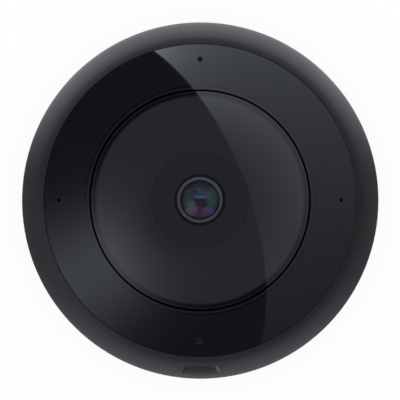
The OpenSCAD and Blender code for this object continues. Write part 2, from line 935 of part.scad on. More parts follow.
// Low ribs inside the floor that stiffen it and spread the heat
rib_spread_shares = [-0.52, -0.36, 0.36, 0.52];
module cooling_ribs() {
    rib_l = floor_r;
    for (share = rib_spread_shares)
        block(rib_t, rib_l, rear_z, rear_floor_t + rib_h, [floor_r * share, 0]);
}

// Ring wall under the base with the three lugs of the twist lock
module bayonet_lugs() {
    ring(lug_wall_r, lug_wall_r - lug_wall_t, lug_z, rear_z - lug_z + rear_floor_t / 2);
    around(lug_angles)
        arc_block(lug_wall_r - lug_wall_t / 2, lug_wall_r + lug_reach, lug_z, lug_t, lug_angle);
}

module mounting_plate() {
    hook_h = hook_flange_z + hook_flange_t;
    color("#55585c")
        difference() {
            union() {
                cylinder(r = plate_r, h = plate_t, $fn = 180);
                ring(plate_r, plate_r - plate_rim_t, 0, plate_t + plate_rim_h);
                around([for (a = lug_angles) a - lug_angle / 2 - stop_clear_angle - hook_stop_angle])
                    bayonet_hook();
                ring(cable_hole_r + rib_t, cable_hole_r, 0, plate_t + rib_t);
            }
            translate([0, 0, -overrun])
                cylinder(r = cable_hole_r, h = hook_h);
            for (side = [-1, 1])
                box_slot([side * box_slot_x, 0]);
            around(post_angles, ceiling_screw_r)
                translate([0, 0, -overrun])
                    cylinder(d = ceiling_hole_d, h = plate_t + 2 * overrun);
            // Window in the rim that the release tooth travels in
            rotate([0, 0, 270 + twist_travel / 2])
                arc_block(plate_r - 2 * plate_rim_t, plate_r + overrun, plate_t, plate_rim_h + overrun,
                    twist_travel + 2 * tooth_half_angle());
        }
}

// A hook that starts on +X: a wall with a flange over the lug, and a closed end that stops the twist
module bayonet_hook() {
    hook_h = hook_flange_z + hook_flange_t;
    rotate_extrude(angle = hook_stop_angle + stop_clear_angle + lug_angle + hook_open_angle)
        polygon([
            [hook_out_r - hook_wall_t, plate_t / 2],
            [hook_out_r, plate_t / 2],
            [hook_out_r, hook_h],
            [hook_in_r, hook_h],
            [hook_in_r, hook_flange_z],
            [hook_out_r - hook_wall_t, hook_flange_z]
        ]);
    rotate([0, 0, stop_clear_angle])
        rotate_extrude(angle = hook_stop_angle - stop_clear_angle)
            translate([hook_in_r + fit_clear, plate_t / 2])
                square([hook_reach + hook_wall_t / 2, hook_h - hook_flange_t / 2 - plate_t / 2]);
}

// Half the angle that the tooth takes up, with room at its sides
function tooth_half_angle() = asin((tooth_w / 2 + 2 * run_clear) / (tooth_out_r - tooth_l));

// A slot along X with round ends
module box_slot(at) {
    for (side = [-1, 1])
        translate([at[0] + side * (slot_l - slot_w) / 2, at[1], -overrun])
            cylinder(d = slot_w, h = plate_t + 2 * overrun);
    block(slot_l - slot_w, slot_w, -overrun, plate_t + 2 * overrun, at);
}

// Press tab in its window: a curved face with a thumb dish, a flange behind the wall, an arm and a tooth
module release_tab() {
    middle_z = (tab_window_z + tab_window_top) / 2;
    arm_in_y = tooth_out_r - tooth_l;
    color("#303236")
        union() {
            intersection() {
                difference() {
                    rotate([0, 0, -90 - tab_arc_angle / 2])
                        rotate_extrude(angle = tab_arc_angle)
                            translate([shell_r - tab_inset - tab_wall, rim_gap])
                                square([tab_wall, shoulder_z]);
                    translate([-tab_w, tab_dish_depth - shell_r + tab_inset - tab_dish_r, middle_z])
                        rotate([0, 90, 0])
                            cylinder(r = tab_dish_r, h = 2 * tab_w, $fn = 96);
                }
                tab_window(-run_clear, tab_back_y);
            }
            // Flange that stops behind the shell's wall
            intersection() {
                rotate([0, 0, -90 - tab_arc_angle / 2])
                    rotate_extrude(angle = tab_arc_angle)
                        difference() {
                            shell_outline(shell_wall + run_clear, rear_z, flange_z - flange_t);
                            shell_outline(shell_wall + run_clear + tab_flange_t, rear_z - overrun,
                                flange_z);
                        }
                block(tab_w + 2 * tab_flange_w, 2 * tab_depth, rear_z,
                    tab_window_top + tab_flange_w - rear_z, [0, -shell_r]);
            }
            translate([-tab_arm_w / 2, -shell_r + tab_inset + tab_wall / 2, tab_arm_z])
                cube([tab_arm_w, shell_r - tab_inset - tab_wall / 2 - arm_in_y, tab_arm_t]);
            translate([-tooth_w / 2, -tooth_out_r, tab_arm_z - tooth_drop])
                cube([tooth_w, tooth_l, tooth_drop + tab_arm_t]);
            translate([0, -shell_r + tab_inset + tab_wall / 2, spring_z])
                rotate([-90, 0, 0])
                    cylinder(r = spring_pin_r, h = tab_wall / 2 + tab_flange_t + spring_pin_l);
        }
}

spring_front_y = shell_r - shell_wall - run_clear - tab_flange_t;

// Points of a ring of the spring's wire at turn t, from 0 to 1 along the coil
spring_sides = 6;
spring_steps = 72;
function spring_centre(t) = [
    (spring_r - spring_wire_r) * cos(360 * spring_turns * t),
    -spring_front_y + spring_wire_r + t * (spring_front_y - spring_seat_y - 2 * spring_wire_r),
    spring_z + (spring_r - spring_wire_r) * sin(360 * spring_turns * t)
];
function spring_point(t, k) =
    let (
        a = 360 * spring_turns * t,
        b = 360 * k / spring_sides,
        out = spring_wire_r * cos(b),
        along = spring_wire_r * sin(b)
    )
    spring_centre(t) + [out * cos(a), along, out * sin(a)];

module release_spring() {
    points = [for (i = [0 : spring_steps]) for (k = [0 : spring_sides - 1])
        spring_point(i / spring_steps, k)];
    sides = [for (i = [0 : spring_steps - 1]) for (k = [0 : spring_sides - 1])
        let (n = (k + 1) % spring_sides, low = i * spring_sides, top = low + spring_sides)
        each [[low + k, low + n, top + n], [low + k, top + n, top + k]]];
    ends = [
        [for (k = [spring_sides - 1 : -1 : 0]) k],
        [for (k = [0 : spring_sides - 1]) spring_steps * spring_sides + k]
    ];
    color("#b8bcc0")
        polyhedron(points = points, faces = concat(sides, ends));
}

module lamp_board() {
    color("#141a14")
        ring(lamp_board_r, lamp_board_bore_r, lamp_board_z, thin_board_t);
}

lamp_w = 3.4;
lamp_h = 0.9;
lamp_lens_r = 1.4;
// The lamps stand midway between the shroud and the window's ledge
lamp_ring_r = (shroud_r + groove_outer_r - ledge_w) / 2;
lamp_angles = [for (i = [0 : 5]) 30 + i * 60];

module infrared_lamps() {
    color("#d8d2b8")
        around(lamp_angles, lamp_ring_r) {
            block(lamp_w, lamp_w, lamp_board_z + thin_board_t, lamp_h);
            translate([0, 0, lamp_board_z + thin_board_t + lamp_h])
                intersection() {
                    sphere(r = lamp_lens_r, $fn = 32);
                    cylinder(r = lamp_lens_r + overrun, h = lamp_lens_r + overrun);
                }
        }
}

module face_board() {
    color("#141a14")
        difference() {
            ring(face_board_out_r, face_board_in_r, flange_top, thin_board_t);
            around(cover_screw_angles, cover_screw_ring_r)
                translate([0, 0, flange_top - overrun])
                    cylinder(r = boss_r + fit_clear, h = thin_board_t + 2 * overrun);
        }
}

chip_h = 0.5;
chip_w = 2.6;
face_chip_z = flange_top + thin_board_t;

module microphones() {
    color("#c9b98a")
        around(port_angles, port_ring_r)
            difference() {
                block(chip_w, 1.3 * chip_w, face_chip_z, chip_h);
                translate([0, 0, face_chip_z + chip_h / 2])
                    cylinder(d = mic_hole_d / 2, h = chip_h, $fn = 24);
            }
}

module microphone_gaskets() {
    gasket_z = face_chip_z + chip_h;
    gasket_out_r = port_ring_r + mic_hole_d;
    color("#1a1a1a")
        around(port_angles, port_ring_r)
            ring(mic_hole_d, mic_hole_d / 2, gasket_z,
                face_z(gasket_out_r, cover_wall) - gasket_z - fit_clear);
}

module face_chips() {
    color("#d6d6cc")
        around([90, 270], port_ring_r)
            block(chip_w, chip_w, face_chip_z, chip_h);
}

module status_light_guide() {
    color("#cfd4d8", 0.7)
        around([90], port_ring_r)
            translate([0, 0, face_chip_z + chip_h])
                cylinder(d = status_hole_d - 2 * fit_clear,
                    h = face_z(port_ring_r) - face_chip_z - chip_h - fit_clear, $fn = 48);
}

module sensor_window() {
    color("#1b1c20", 0.9)
        intersection() {
            block(sensor_window_w - 2 * fit_clear, sensor_window_w - 2 * fit_clear,
                face_chip_z + chip_h, mouth_z, [0, -port_ring_r]);
            rotate_extrude($fn = 720)
                intersection() {
                    translate([port_ring_r - sensor_window_w, 0])
                        square([2 * sensor_window_w, 2 * mouth_z]);
                    translate([0, sphere_z])
                        circle(r = face_sphere_r, $fn = 720);
                }
        }
}

// Ferrite core with its winding round the middle, on the main board
module power_transformer() {
    base_z = main_board_z + board_t;
    color("#3a3a3c") {
        block(core_x, core_y, base_z, core_h, core_at);
        block(winding_x, winding_y, base_z + (core_h - winding_h) / 2, winding_h, core_at);
    }
}

// Cans on square bases, in a row along the board's edge
module power_capacitors() {
    color("#b4b6b8")
        around(capacitor_angles, capacitor_ring_r) {
            block(capacitor_base_w, capacitor_base_w, main_board_z + board_t, capacitor_base_h);
            translate([0, 0, main_board_z + board_t + capacitor_base_h / 2])
                cylinder(r = capacitor_r, h = capacitor_h);
        }
}

// Flat cables that stand on edge between the boards
cable_t = 0.3;
module ribbon_cables() {
    face_cable_w = 8;
    lamp_cable_w = 6;
    face_cable_x = face_board_in_r + cable_t;
    color("#c7c2b4") {
        block(cable_t, face_cable_w, main_board_z + board_t, flange_top - main_board_z - board_t,
            [face_cable_x, 0]);
        block(cable_t, lamp_cable_w, main_board_z + board_t, lamp_board_z - main_board_z - board_t,
            [-sensor_board_x / 2 - 2 * board_t, 0]);
    }
}

module network_jack() {
    color("#b9bcc0")
        difference() {
            block(jack_x, jack_y, jack_z, main_board_z - jack_z, [0, jack_at_y]);
            block(jack_socket_x, jack_socket_y, jack_z - overrun, jack_socket_depth + overrun,
                [0, jack_at_y]);
            block(jack_key_x, jack_key_y + overrun, jack_z - overrun, jack_socket_depth + overrun,
                [0, jack_at_y - jack_socket_y / 2 - jack_key_y / 2 + overrun / 2]);
        }
}

// Eight springs that slant from the socket's far wall towards its floor
module jack_contacts() {
    wall_y = jack_at_y + jack_socket_y / 2;
    contact_top = jack_z + jack_socket_depth - 2 * fit_clear;
    lean = jack_socket_y * jack_contact_lean_share;
    color("#d9b45b")
        for (i = [0 : jack_contact_count - 1])
            translate([(i - (jack_contact_count - 1) / 2) * jack_contact_pitch + jack_contact_w / 2, 0, 0])
                rotate([0, -90, 0])
                    linear_extrude(jack_contact_w)
                        polygon([
                            [contact_top - jack_contact_l, wall_y],
                            [contact_top - jack_contact_l, wall_y - jack_contact_t],
                            [contact_top - jack_contact_t, wall_y - lean - jack_contact_t],
                            [contact_top, wall_y - lean]
                        ]);
}

module jack_seal() {
    color("#1a1a1a")
        difference() {
            block(jack_x + 2 * jack_seal_t, jack_y + 2 * jack_seal_t, rear_z, collar_h,
                [0, jack_at_y]);
            block(jack_x, jack_y, rear_z - overrun, collar_h + 2 * overrun, [0, jack_at_y]);
        }
}

module reset_plunger() {
    low_z = rear_z + plunger_sunk;
    flange_low = rear_z + rear_floor_t + fit_clear;
    color("#d8d8d4")
        translate([plunger_at[0], plunger_at[1], 0]) {
            translate([0, 0, low_z])
                cylinder(r = plunger_r, h = main_board_z - switch_h - switch_nub_h - run_clear
                    - reset_travel - low_z);
            translate([0, 0, flange_low])
                cylinder(r = plunger_flange_r, h = plunger_flange_t);
        }
}

module reset_switch() {
    color("#1f1f21")
        translate([plunger_at[0], plunger_at[1], 0]) {
            block(switch_w, switch_w, main_board_z - switch_h, switch_h);
            translate([0, 0, main_board_z - switch_h - switch_nub_h])
                cylinder(r = switch_nub_r, h = switch_nub_h);
        }
}

module housing_screws() {
    color("#8a8d91")
        around(housing_screw_angles, housing_screw_ring_r)
            translate([0, 0, rear_z + screw_head_h])
                mirror([0, 0, 1])
                    screw(screw_r, screw_head_r, screw_head_h, 3 * screw_head_r);
}

module board_screws() {
    color("#8a8d91")
        around(post_angles, post_ring_r)
            translate([0, 0, main_board_z + board_t])
                screw(screw_r, screw_head_r, screw_head_h, 3 * screw_head_r);
}

module sensor_screws() {
    color("#8a8d91")
        at_sensor_corners()
            translate([0, 0, sensor_board_z + thin_board_t])
                screw(small_screw_r, small_head_r, small_head_h, thin_board_t + spacer_h);
}

module cover_screws() {
    color("#8a8d91")
        around(cover_screw_angles, cover_screw_ring_r)
            translate([0, 0, flange_z])
                mirror([0, 0, 1])
                    screw(screw_r, screw_head_r, screw_head_h, flange_t + boss_r / 2);
}

mounting_plate();
rear_cover();
outer_shell();
front_cover();
cover_seal();
dome_window();
window_seal();
lens_shroud();
lens_bezel();
front_lens();
inner_lenses();
lens_barrel();
lens_holder();
filter_housing();
filter_carrier();
filter_panes();
drive_arm();
drive_coil();
image_sensor();
sensor_board();
board_spacers();
board_connector();
main_board();
processor();
thermal_pad();
lamp_board();
infrared_lamps();
face_board();
microphones();
microphone_gaskets();
power_transformer();
power_capacitors();
status_light_guide();
sensor_window();
face_chips();
ribbon_cables();
network_jack();
jack_contacts();
jack_seal();
release_tab();
release_spring();
reset_plunger();
reset_switch();
housing_screws();
board_screws();
sensor_screws();
cover_screws();
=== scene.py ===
import math

import bmesh
import bpy
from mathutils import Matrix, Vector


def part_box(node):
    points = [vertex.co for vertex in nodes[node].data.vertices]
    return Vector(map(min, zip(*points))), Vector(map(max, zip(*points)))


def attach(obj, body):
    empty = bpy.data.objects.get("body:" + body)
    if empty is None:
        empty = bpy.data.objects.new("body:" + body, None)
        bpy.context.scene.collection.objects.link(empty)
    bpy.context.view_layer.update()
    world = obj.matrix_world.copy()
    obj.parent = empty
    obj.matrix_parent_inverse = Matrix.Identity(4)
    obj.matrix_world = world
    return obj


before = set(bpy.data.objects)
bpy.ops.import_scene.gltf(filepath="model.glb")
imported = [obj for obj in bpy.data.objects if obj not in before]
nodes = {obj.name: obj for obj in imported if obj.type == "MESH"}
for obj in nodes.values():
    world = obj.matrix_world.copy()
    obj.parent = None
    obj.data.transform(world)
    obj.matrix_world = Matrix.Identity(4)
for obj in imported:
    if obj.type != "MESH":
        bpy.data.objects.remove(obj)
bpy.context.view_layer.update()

MM = 0.001

# ---- Mounting plate ----------------------------------------------------------------------------
# The pressed steel plate is screwed to the ceiling and stays there. It is powder coated in a satin
# dark grey, which leaves a fine orange peel all over it.


def linear(hex_colour):
    """The linear colour of an sRGB hex value."""
    parts = [int(hex_colour[i:i + 2], 16) / 255 for i in (1, 3, 5)]
    return (*[c / 12.92 if c <= 0.04045 else ((c + 0.055) / 1.055) ** 2.4 for c in parts], 1.0)


def add(tree, kind, inputs=None, **settings):
    """Adds a node with its settings and links. An input is a value, a socket, or a node's first output."""
    node = tree.nodes.new("ShaderNode" + kind)
    for name, value in settings.items():
        setattr(node, name, value)
    for name, value in (inputs or {}).items():
        socket = node.inputs[name] if isinstance(name, int) else next(
            entry for entry in node.inputs if entry.enabled and entry.name == name)
        if isinstance(value, bpy.types.Node):
            value = next(output for output in value.outputs if output.enabled)
        if isinstance(value, bpy.types.NodeSocket):
            tree.links.new(value, socket)
        else:
            socket.default_value = value
    return node


def new_finish(name):
    """A bare material. Returns it, its node tree and the place on the object in metres."""
    finish = bpy.data.materials.new(name)
    finish.use_nodes = True
    finish.node_tree.nodes.clear()
    place = add(finish.node_tree, "TexCoord").outputs["Object"]
    return finish, finish.node_tree, place


def wear(finish, surface, *names):
    """Closes a finish with its surface and gives it to the named CAD nodes."""
    add(finish.node_tree, "OutputMaterial", {"Surface": surface})
    for name in names:
        nodes[name].data.materials.clear()
        nodes[name].data.materials.append(finish)


def lumps(size):
    """The scale at which noise has lumps of that size in millimetres."""
    return 0.5 / (size * MM)


def swing(low, high):
    """The limits that spread a pattern's usual values, 0.3 to 0.7, from low to high."""
    return {"From Min": 0.3, "From Max": 0.7, "To Min": low, "To Max": high}


def mottled(name, size, dark, light, skin, *wearers, relief=None, detail=2.0):
    """A finish that drifts between two colours in lumps of that size in millimetres. A pair as its roughness
    drifts with them, and relief is how far they stand out, in millimetres. Returns the material."""
    finish, tree, place = new_finish(name)
    drift = add(tree, "TexNoise", {"Vector": place, "Scale": lumps(size), "Detail": detail})
    colour = add(tree, "Mix", {"Factor": drift, "A": linear(dark), "B": linear(light)}, data_type="RGBA")
    skin = {"Base Color": colour, **skin}
    if isinstance(skin["Roughness"], tuple):
        low, high = skin["Roughness"]
        skin["Roughness"] = add(tree, "MapRange", {"Value": drift, **swing(low, high)})
    if relief:
        skin["Normal"] = add(tree, "Bump", {"Height": drift, "Distance": relief * MM})
    wear(finish, add(tree, "BsdfPrincipled", skin), *wearers)
    return finish


# Polyester powder coat: the orange peel, 0.9 mm across, keeps its highlights broad and soft
mottled("powder_coated_steel", 0.9, "#4d5054", "#54575b", {"Roughness": 0.42, "IOR": 1.5}, "mounting_plate",
        relief=0.01)

# ---- Rear cover --------------------------------------------------------------------------------
# The back of the housing is die cast in aluminium, bead blasted and dark anodised. It carries the
# boards on its posts and takes the processor's heat, and its lugs turn under the plate's hooks.

# Blasted casting: the beads leave dimples about 0.35 mm across, and the skin flows in patches of 6 mm
casting, tree, place = new_finish("anodised_cast_aluminium")
flow = add(tree, "TexNoise", {"Vector": place, "Scale": lumps(6)})
dimples = add(tree, "TexNoise", {"Vector": place, "Scale": lumps(0.35)})
colour = add(tree, "Mix", {"Factor": flow, "A": linear("#5b5c5f"), "B": linear("#66676a")}, data_type="RGBA")
rough = add(tree, "MapRange", {"Value": dimples, **swing(0.42, 0.56)})
bump = add(tree, "Bump", {"Height": dimples, "Distance": 0.012 * MM})
surface = add(tree, "BsdfPrincipled", {"Base Color": colour, "Metallic": 1.0, "Roughness": rough,
                                       "Normal": bump})
wear(casting, surface, "rear_cover")

# ---- Outer shell and release tab ---------------------------------------------------------------
# The shell and its tab are moulded in dark grey polycarbonate. The mould's walls are spark eroded,
# so the part comes out with an even satin skin that shows no sink marks over the ribs inside.


def patch(tree, place, middle, reach, edge):
    """A soft-edged ellipse on the face: 1 inside, 0 outside. Sizes are in millimetres, edge is a share."""
    middle, reach = [value * MM for value in middle], [1 / (value * MM) for value in reach]
    centred = add(tree, "VectorMath", {0: place, 1: (*middle, 0.0)}, operation="SUBTRACT")
    scaled = add(tree, "VectorMath", {0: centred, 1: (*reach, 0.0)}, operation="MULTIPLY")
    away = add(tree, "VectorMath", {0: scaled}, operation="LENGTH")
    return add(tree, "MapRange", {"Value": away, "From Min": 1 + edge, "From Max": 1 - edge},
               interpolation_type="SMOOTHSTEP")


def stripes(tree, distance, *stops):
    """Colours by a distance. Each stop is a distance in millimetres and a hex value, in rising order."""
    first, last = stops[0][0], stops[-1][0]
    share = add(tree, "MapRange", {"Value": distance, "From Min": first * MM, "From Max": last * MM})
    ramp = add(tree, "ValToRGB", {"Fac": share})
    while len(ramp.color_ramp.elements) < len(stops):
        ramp.color_ramp.elements.new(1.0)
    for element, (at, hex_colour) in zip(ramp.color_ramp.elements, stops):
        element.position = (at - first) / (last - first)
        element.color = linear(hex_colour)
    return ramp


# Eroded skin: real craters are 0.03 mm, and are drawn 0.35 mm across so that they show
satin, tree, place = new_finish("satin_polycarbonate")
craters = add(tree, "TexNoise", {"Vector": place, "Scale": lumps(0.35), "Detail": 1.0})
flow = add(tree, "TexNoise", {"Vector": place, "Scale": lumps(14)})
colour = add(tree, "Mix", {"Factor": flow, "A": linear("#1d1e20"), "B": linear("#202124")}, data_type="RGBA")
# The recess's floor carries painted light and shade. From its lip up to its top edge it is first as the skin,
# then painted lighter, then painted dark as the shade under that edge, and it is 10.6 mm wide
recess_lip, recess_top, recess_half = -58.2, -54.3, 5.3
axes = add(tree, "SeparateXYZ", {0: place})
painted_recess_shading = stripes(tree, axes.outputs["Y"], (recess_lip, "#1e1f21"), (-57.9, "#232426"), (-57.3, "#28292c"),
                (-56.6, "#27282b"), (-56.3, "#2d2e31"), (-55.95, "#2e2f32"), (-55.6, "#2a2b2d"),
                (-55.3, "#1c1d1f"), (-54.95, "#0f0f11"), (-54.6, "#060608"), (recess_top, "#1e1f21"))
across = add(tree, "Math", {0: axes.outputs["X"]}, operation="ABSOLUTE")
inside = add(tree, "MapRange", {"Value": across, "From Min": (recess_half + 0.2) * MM,
                                "From Max": (recess_half - 0.2) * MM})
below = add(tree, "Math", {0: axes.outputs["Y"], 1: recess_top * MM}, operation="LESS_THAN")
above = add(tree, "Math", {0: axes.outputs["Y"], 1: recess_lip * MM}, operation="GREATER_THAN")
rows = add(tree, "Math", {0: below, 1: above}, operation="MULTIPLY")
inside = add(tree, "Math", {0: inside, 1: rows}, operation="MULTIPLY")
colour = add(tree, "Mix", {"Factor": inside, "A": colour, "B": painted_recess_shading}, data_type="RGBA")
# Its ends: a painted highlight runs down the right-hand one, and both have painted shade at the outer corner
for middle, reach, hex_colour in (
        ((5.5, -55.4), (0.4, 0.8), "#4c4d50"), ((6.1, -56.1), (0.4, 0.7), "#4c4d50"),
        ((6.8, -55.0), (0.5, 0.6), "#020203"), ((-7.0, -55.6), (0.5, 1.0), "#020203")):
    spot = patch(tree, place, middle, reach, 0.5)
    colour = add(tree, "Mix", {"Factor": spot, "A": colour, "B": linear(hex_colour)}, data_type="RGBA")
rough = add(tree, "MapRange", {"Value": craters, **swing(0.29, 0.35)})
bump = add(tree, "Bump", {"Height": craters, "Distance": 0.0025 * MM})
surface = add(tree, "BsdfPrincipled", {"Base Color": colour, "Roughness": rough, "IOR": 1.585,
                                       "Normal": bump})
wear(satin, surface, "outer_shell", "release_tab")

# ---- Front cover -------------------------------------------------------------------------------
# The glossy ring of the face is moulded in black acrylic against a polished mould. It holds the
# window in its groove and has the ports for the microphones, the status light and the light sensor.

# The face is a dome of one sphere, whose highest point is cut away by the window's bore
DOME_R = 150 * MM
BORE_R = 8.4 * MM
dome_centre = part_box("dome_window")[1][2] - math.sqrt(DOME_R ** 2 - BORE_R ** 2)


def from_axis(tree, place):
    """The distance from the lens's axis, in metres."""
    flat = add(tree, "VectorMath", {0: place, 1: (1.0, 1.0, 0.0)}, operation="MULTIPLY")
    return add(tree, "VectorMath", {0: flat}, operation="LENGTH")


def dome_normal(tree, place):
    """The sphere's own normal within 0.6 mm of the dome, so that its soft edges shine as one with it."""
    out = add(tree, "VectorMath", {0: place, 1: (0, 0, dome_centre)}, operation="SUBTRACT")
    reach = add(tree, "VectorMath", {0: out}, operation="LENGTH")
    on_dome = add(tree, "Math", {0: reach, 1: DOME_R, 2: 0.6 * MM}, operation="COMPARE")
    turned = add(tree, "VectorTransform", {0: out}, vector_type="NORMAL", convert_from="OBJECT",
                 convert_to="WORLD")
    own = add(tree, "NewGeometry").outputs["Normal"]
    return add(tree, "Mix", {"Factor": on_dome, "A": own, "B": turned}, data_type="VECTOR")


# Polished acrylic: the resin's swirl, about 9 mm across, barely shows, and reflections run unbroken
gloss, tree, place = new_finish("black_acrylic")
swirl = add(tree, "TexNoise", {"Vector": place, "Scale": lumps(9), "Detail": 1.0})
colour = add(tree, "Mix", {"Factor": swirl, "A": linear("#111215"), "B": linear("#131417")}, data_type="RGBA")
# The groove's edge carries painted light and shade: painted shade down its wall, a painted highlight on the
# crown, painted shade again behind it
radius = from_axis(tree, place)
painted_groove_rings = stripes(tree, radius, (36.3, "#020203"), (36.6, "#1a1b1e"), (37.0, "#1a1b1e"), (37.25, "#0b0b0d"),
                 (37.55, "#0d0d0f"), (37.9, "#121316"))
at_edge = add(tree, "Math", {0: radius, 1: 37.9 * MM}, operation="LESS_THAN")
colour = add(tree, "Mix", {"Factor": at_edge, "A": colour, "B": painted_groove_rings}, data_type="RGBA")
surface = add(tree, "BsdfPrincipled", {"Base Color": colour, "Roughness": 0.03, "IOR": 1.49,
                                       "Normal": dome_normal(tree, place)})
wear(gloss, surface, "front_cover")

# ---- Dome window -------------------------------------------------------------------------------
# The window is moulded in smoked polycarbonate, dark to the eye and clear to the infrared lamps. The
# lens shroud stands close behind it and shows through the resin as a faint darker disc.

# Smoked resin with a polished skin. The shroud's edge lies under a radius of 15.8 mm, and the bevelled rim,
# which stands in its seal, is painted darker as shade
smoked, tree, place = new_finish("smoked_polycarbonate")
radius = from_axis(tree, place)
colour = stripes(tree, radius, (15.5, "#222327"), (15.8, "#1c1d21"), (16.1, "#242529"), (33.6, "#242529"),
                 (34.3, "#131417"), (34.6, "#0b0b0d"), (35.0, "#0b0b0d"), (35.3, "#17181b"))
surface = add(tree, "BsdfPrincipled", {"Base Color": colour, "Roughness": 0.025, "IOR": 1.585,
                                       "Normal": dome_normal(tree, place)})
wear(smoked, surface, "dome_window")

# ---- Seals -------------------------------------------------------------------------------------
# Soft rings keep the weather out: one under the front cover, one under the window, one round the
# network jack, and a small one at each microphone. They are pressed from black silicone rubber.

# Moulded silicone: dry to the touch, with a bloom that lightens it in patches of 3 mm
rubber, tree, place = new_finish("silicone_rubber")
bloom = add(tree, "TexNoise", {"Vector": place, "Scale": lumps(3)})
colour = add(tree, "Mix", {"Factor": bloom, "A": linear("#1d1d1e"), "B": linear("#29292b")}, data_type="RGBA")
pitting = add(tree, "TexNoise", {"Vector": place, "Scale": lumps(0.25)})
bump = add(tree, "Bump", {"Height": pitting, "Distance": 0.006 * MM})
surface = add(tree, "BsdfPrincipled", {"Base Color": colour, "Roughness": 0.62, "IOR": 1.42, "Normal": bump})
wear(rubber, surface, "cover_seal", "window_seal", "jack_seal", "microphone_gaskets")

# ---- Lens shroud -------------------------------------------------------------------------------
# A moulded funnel round the lens keeps the infrared lamps' light off it. It is flocked matt black,
# so that the light which strays under the window dies there.

# Flock: fibres 0.5 mm long stand on the nylon and catch a faint sheen at a grazing angle
mottled("flocked_nylon", 0.25, "#1b1b1d", "#2b2b2e",
        {"Roughness": 0.9, "IOR": 1.53, "Sheen Weight": 0.3, "Sheen Roughness": 0.4}, "lens_shroud",
        relief=0.05)

# ---- Lens bezel --------------------------------------------------------------------------------
# A ring turned in aluminium screws down over the front lens and holds it. It is anodised grey, and
# the lathe's feed is left on its face as fine rings.


def waves(pitch):
    """The scale at which a wave repeats at that pitch in millimetres."""
    return 0.314 / (pitch * MM)


# Turned and anodised: the feed is 0.08 mm, drawn at 0.16 mm so that it shows. The inner lip is darker, and
# the outer edge a little darker
ring, tree, place = new_finish("turned_anodised_aluminium")
feed = add(tree, "TexWave", {"Vector": place, "Scale": waves(0.16)}, wave_type="RINGS",
           rings_direction="Z").outputs["Fac"]
cut = add(tree, "Mix", {"Factor": feed, "A": linear("#7a7a80"), "B": linear("#92929a")}, data_type="RGBA")
radius = from_axis(tree, place)
lip = stripes(tree, radius, (6.3, "#8a8a8e"), (6.5, "#ffffff"), (7.4, "#ffffff"), (7.6, "#c0c0c0"))
colour = add(tree, "Mix", {"Factor": 1.0, "A": cut, "B": lip}, data_type="RGBA", blend_type="MULTIPLY")
rough = add(tree, "MapRange", {"Value": feed, **swing(0.56, 0.66)})
surface = add(tree, "BsdfPrincipled", {"Base Color": colour, "Metallic": 1.0, "Roughness": rough})
wear(ring, surface, "lens_bezel")

# ---- Front lens --------------------------------------------------------------------------------
# The fisheye's front element is ground from optical glass and coated against reflections. The
# coatings throw back what little they reflect as blue, green and magenta.

# Multicoated glass: the barrel behind makes it dark, and the coloured patches are painted reflections in its
# coatings. Places are in millimetres on the face, from the middle of the lens
coated, tree, place = new_finish("multicoated_optical_glass")
haze = add(tree, "TexNoise", {"Vector": place, "Scale": lumps(4)})
colour = add(tree, "Mix", {"Factor": haze, "A": linear("#1c181f"), "B": linear("#211e26")}, data_type="RGBA")
# Each patch is a painted reflection, blue, green or magenta from the coatings
for middle, reach, edge, hex_colour in (
        ((-3.9, 0.6), (1.5, 3.6), 0.5, "#272f34"), ((4.0, 0.8), (1.9, 4.2), 0.5, "#273336"),
        ((-2.9, -1.7), (1.5, 1.6), 0.6, "#2c3c40"), ((2.1, 2.2), (0.9, 1.6), 0.6, "#2c3237"),
        ((0.1, 3.6), (2.9, 2.4), 0.3, "#22262f"), ((0.0, 2.7), (1.2, 0.6), 0.6, "#161c2a"),
        ((0.1, 1.7), (2.5, 1.2), 0.3, "#232e47"), ((0.1, 1.0), (2.1, 0.42), 0.5, "#3c4457"),
        ((-2.4, -3.7), (2.6, 1.5), 0.25, "#3c3a4c"), ((2.5, -3.7), (2.6, 1.5), 0.25, "#343349"),
        ((0.1, -4.4), (2.2, 1.2), 0.5, "#36293a"), ((0.1, -2.9), (0.8, 1.9), 0.6, "#30202c")):
    spot = patch(tree, place, middle, reach, edge)
    colour = add(tree, "Mix", {"Factor": spot, "A": colour, "B": linear(hex_colour)}, data_type="RGBA")
surface = add(tree, "BsdfPrincipled", {"Base Color": colour, "Roughness": 0.02, "IOR": 1.52,
                                       "Specular IOR Level": 0.12})
wear(coated, surface, "front_lens")

# ---- Inner lenses ------------------------------------------------------------------------------
# Three smaller elements behind the front lens flatten the fisheye's picture. They are polished
# glass, each with a coating that tints what it throws back.

# Polished glass, clear through, with a faint tint in the coating
mottled("polished_optical_glass", 3, "#8fa6c9", "#a9c9c4",
        {"Roughness": 0.02, "IOR": 1.62, "Transmission Weight": 0.85}, "inner_lenses")

# ---- Lens barrel and holder --------------------------------------------------------------------
# The barrel is turned in aluminium, threaded outside and anodised black. It screws into the holder
# to focus, and the holder is moulded in black nylon with glass fibre.

# Black anodised: the feed marks of the lathe are 0.1 mm, drawn at 0.2 mm
anodised, tree, place = new_finish("black_anodised_aluminium")
feed = add(tree, "TexWave", {"Vector": place, "Scale": waves(0.2)},
           wave_type="BANDS", bands_direction="Z").outputs["Fac"]
colour = add(tree, "Mix", {"Factor": feed, "A": linear("#1c1c1f"), "B": linear("#2a2a2e")}, data_type="RGBA")
rough = add(tree, "MapRange", {"Value": feed, **swing(0.30, 0.45)})
surface = add(tree, "BsdfPrincipled", {"Base Color": colour, "Metallic": 1.0, "Roughness": rough})
wear(anodised, surface, "lens_barrel")

# Glass-filled nylon: short fibres 0.2 mm long lie just under the skin and mottle it
mottled("glass_filled_nylon", 0.2, "#161617", "#222223", {"Roughness": (0.42, 0.6), "IOR": 1.53},
        "lens_holder", "filter_housing", "reset_switch", relief=0.005, detail=4.0)

# ---- Day and night filter ----------------------------------------------------------------------
# A carrier with two panes slides behind the lens. The coil turns the arm's magnet, and the arm's
# pin pushes the carrier from the infrared-blocking pane, for day, to the clear one, for night.

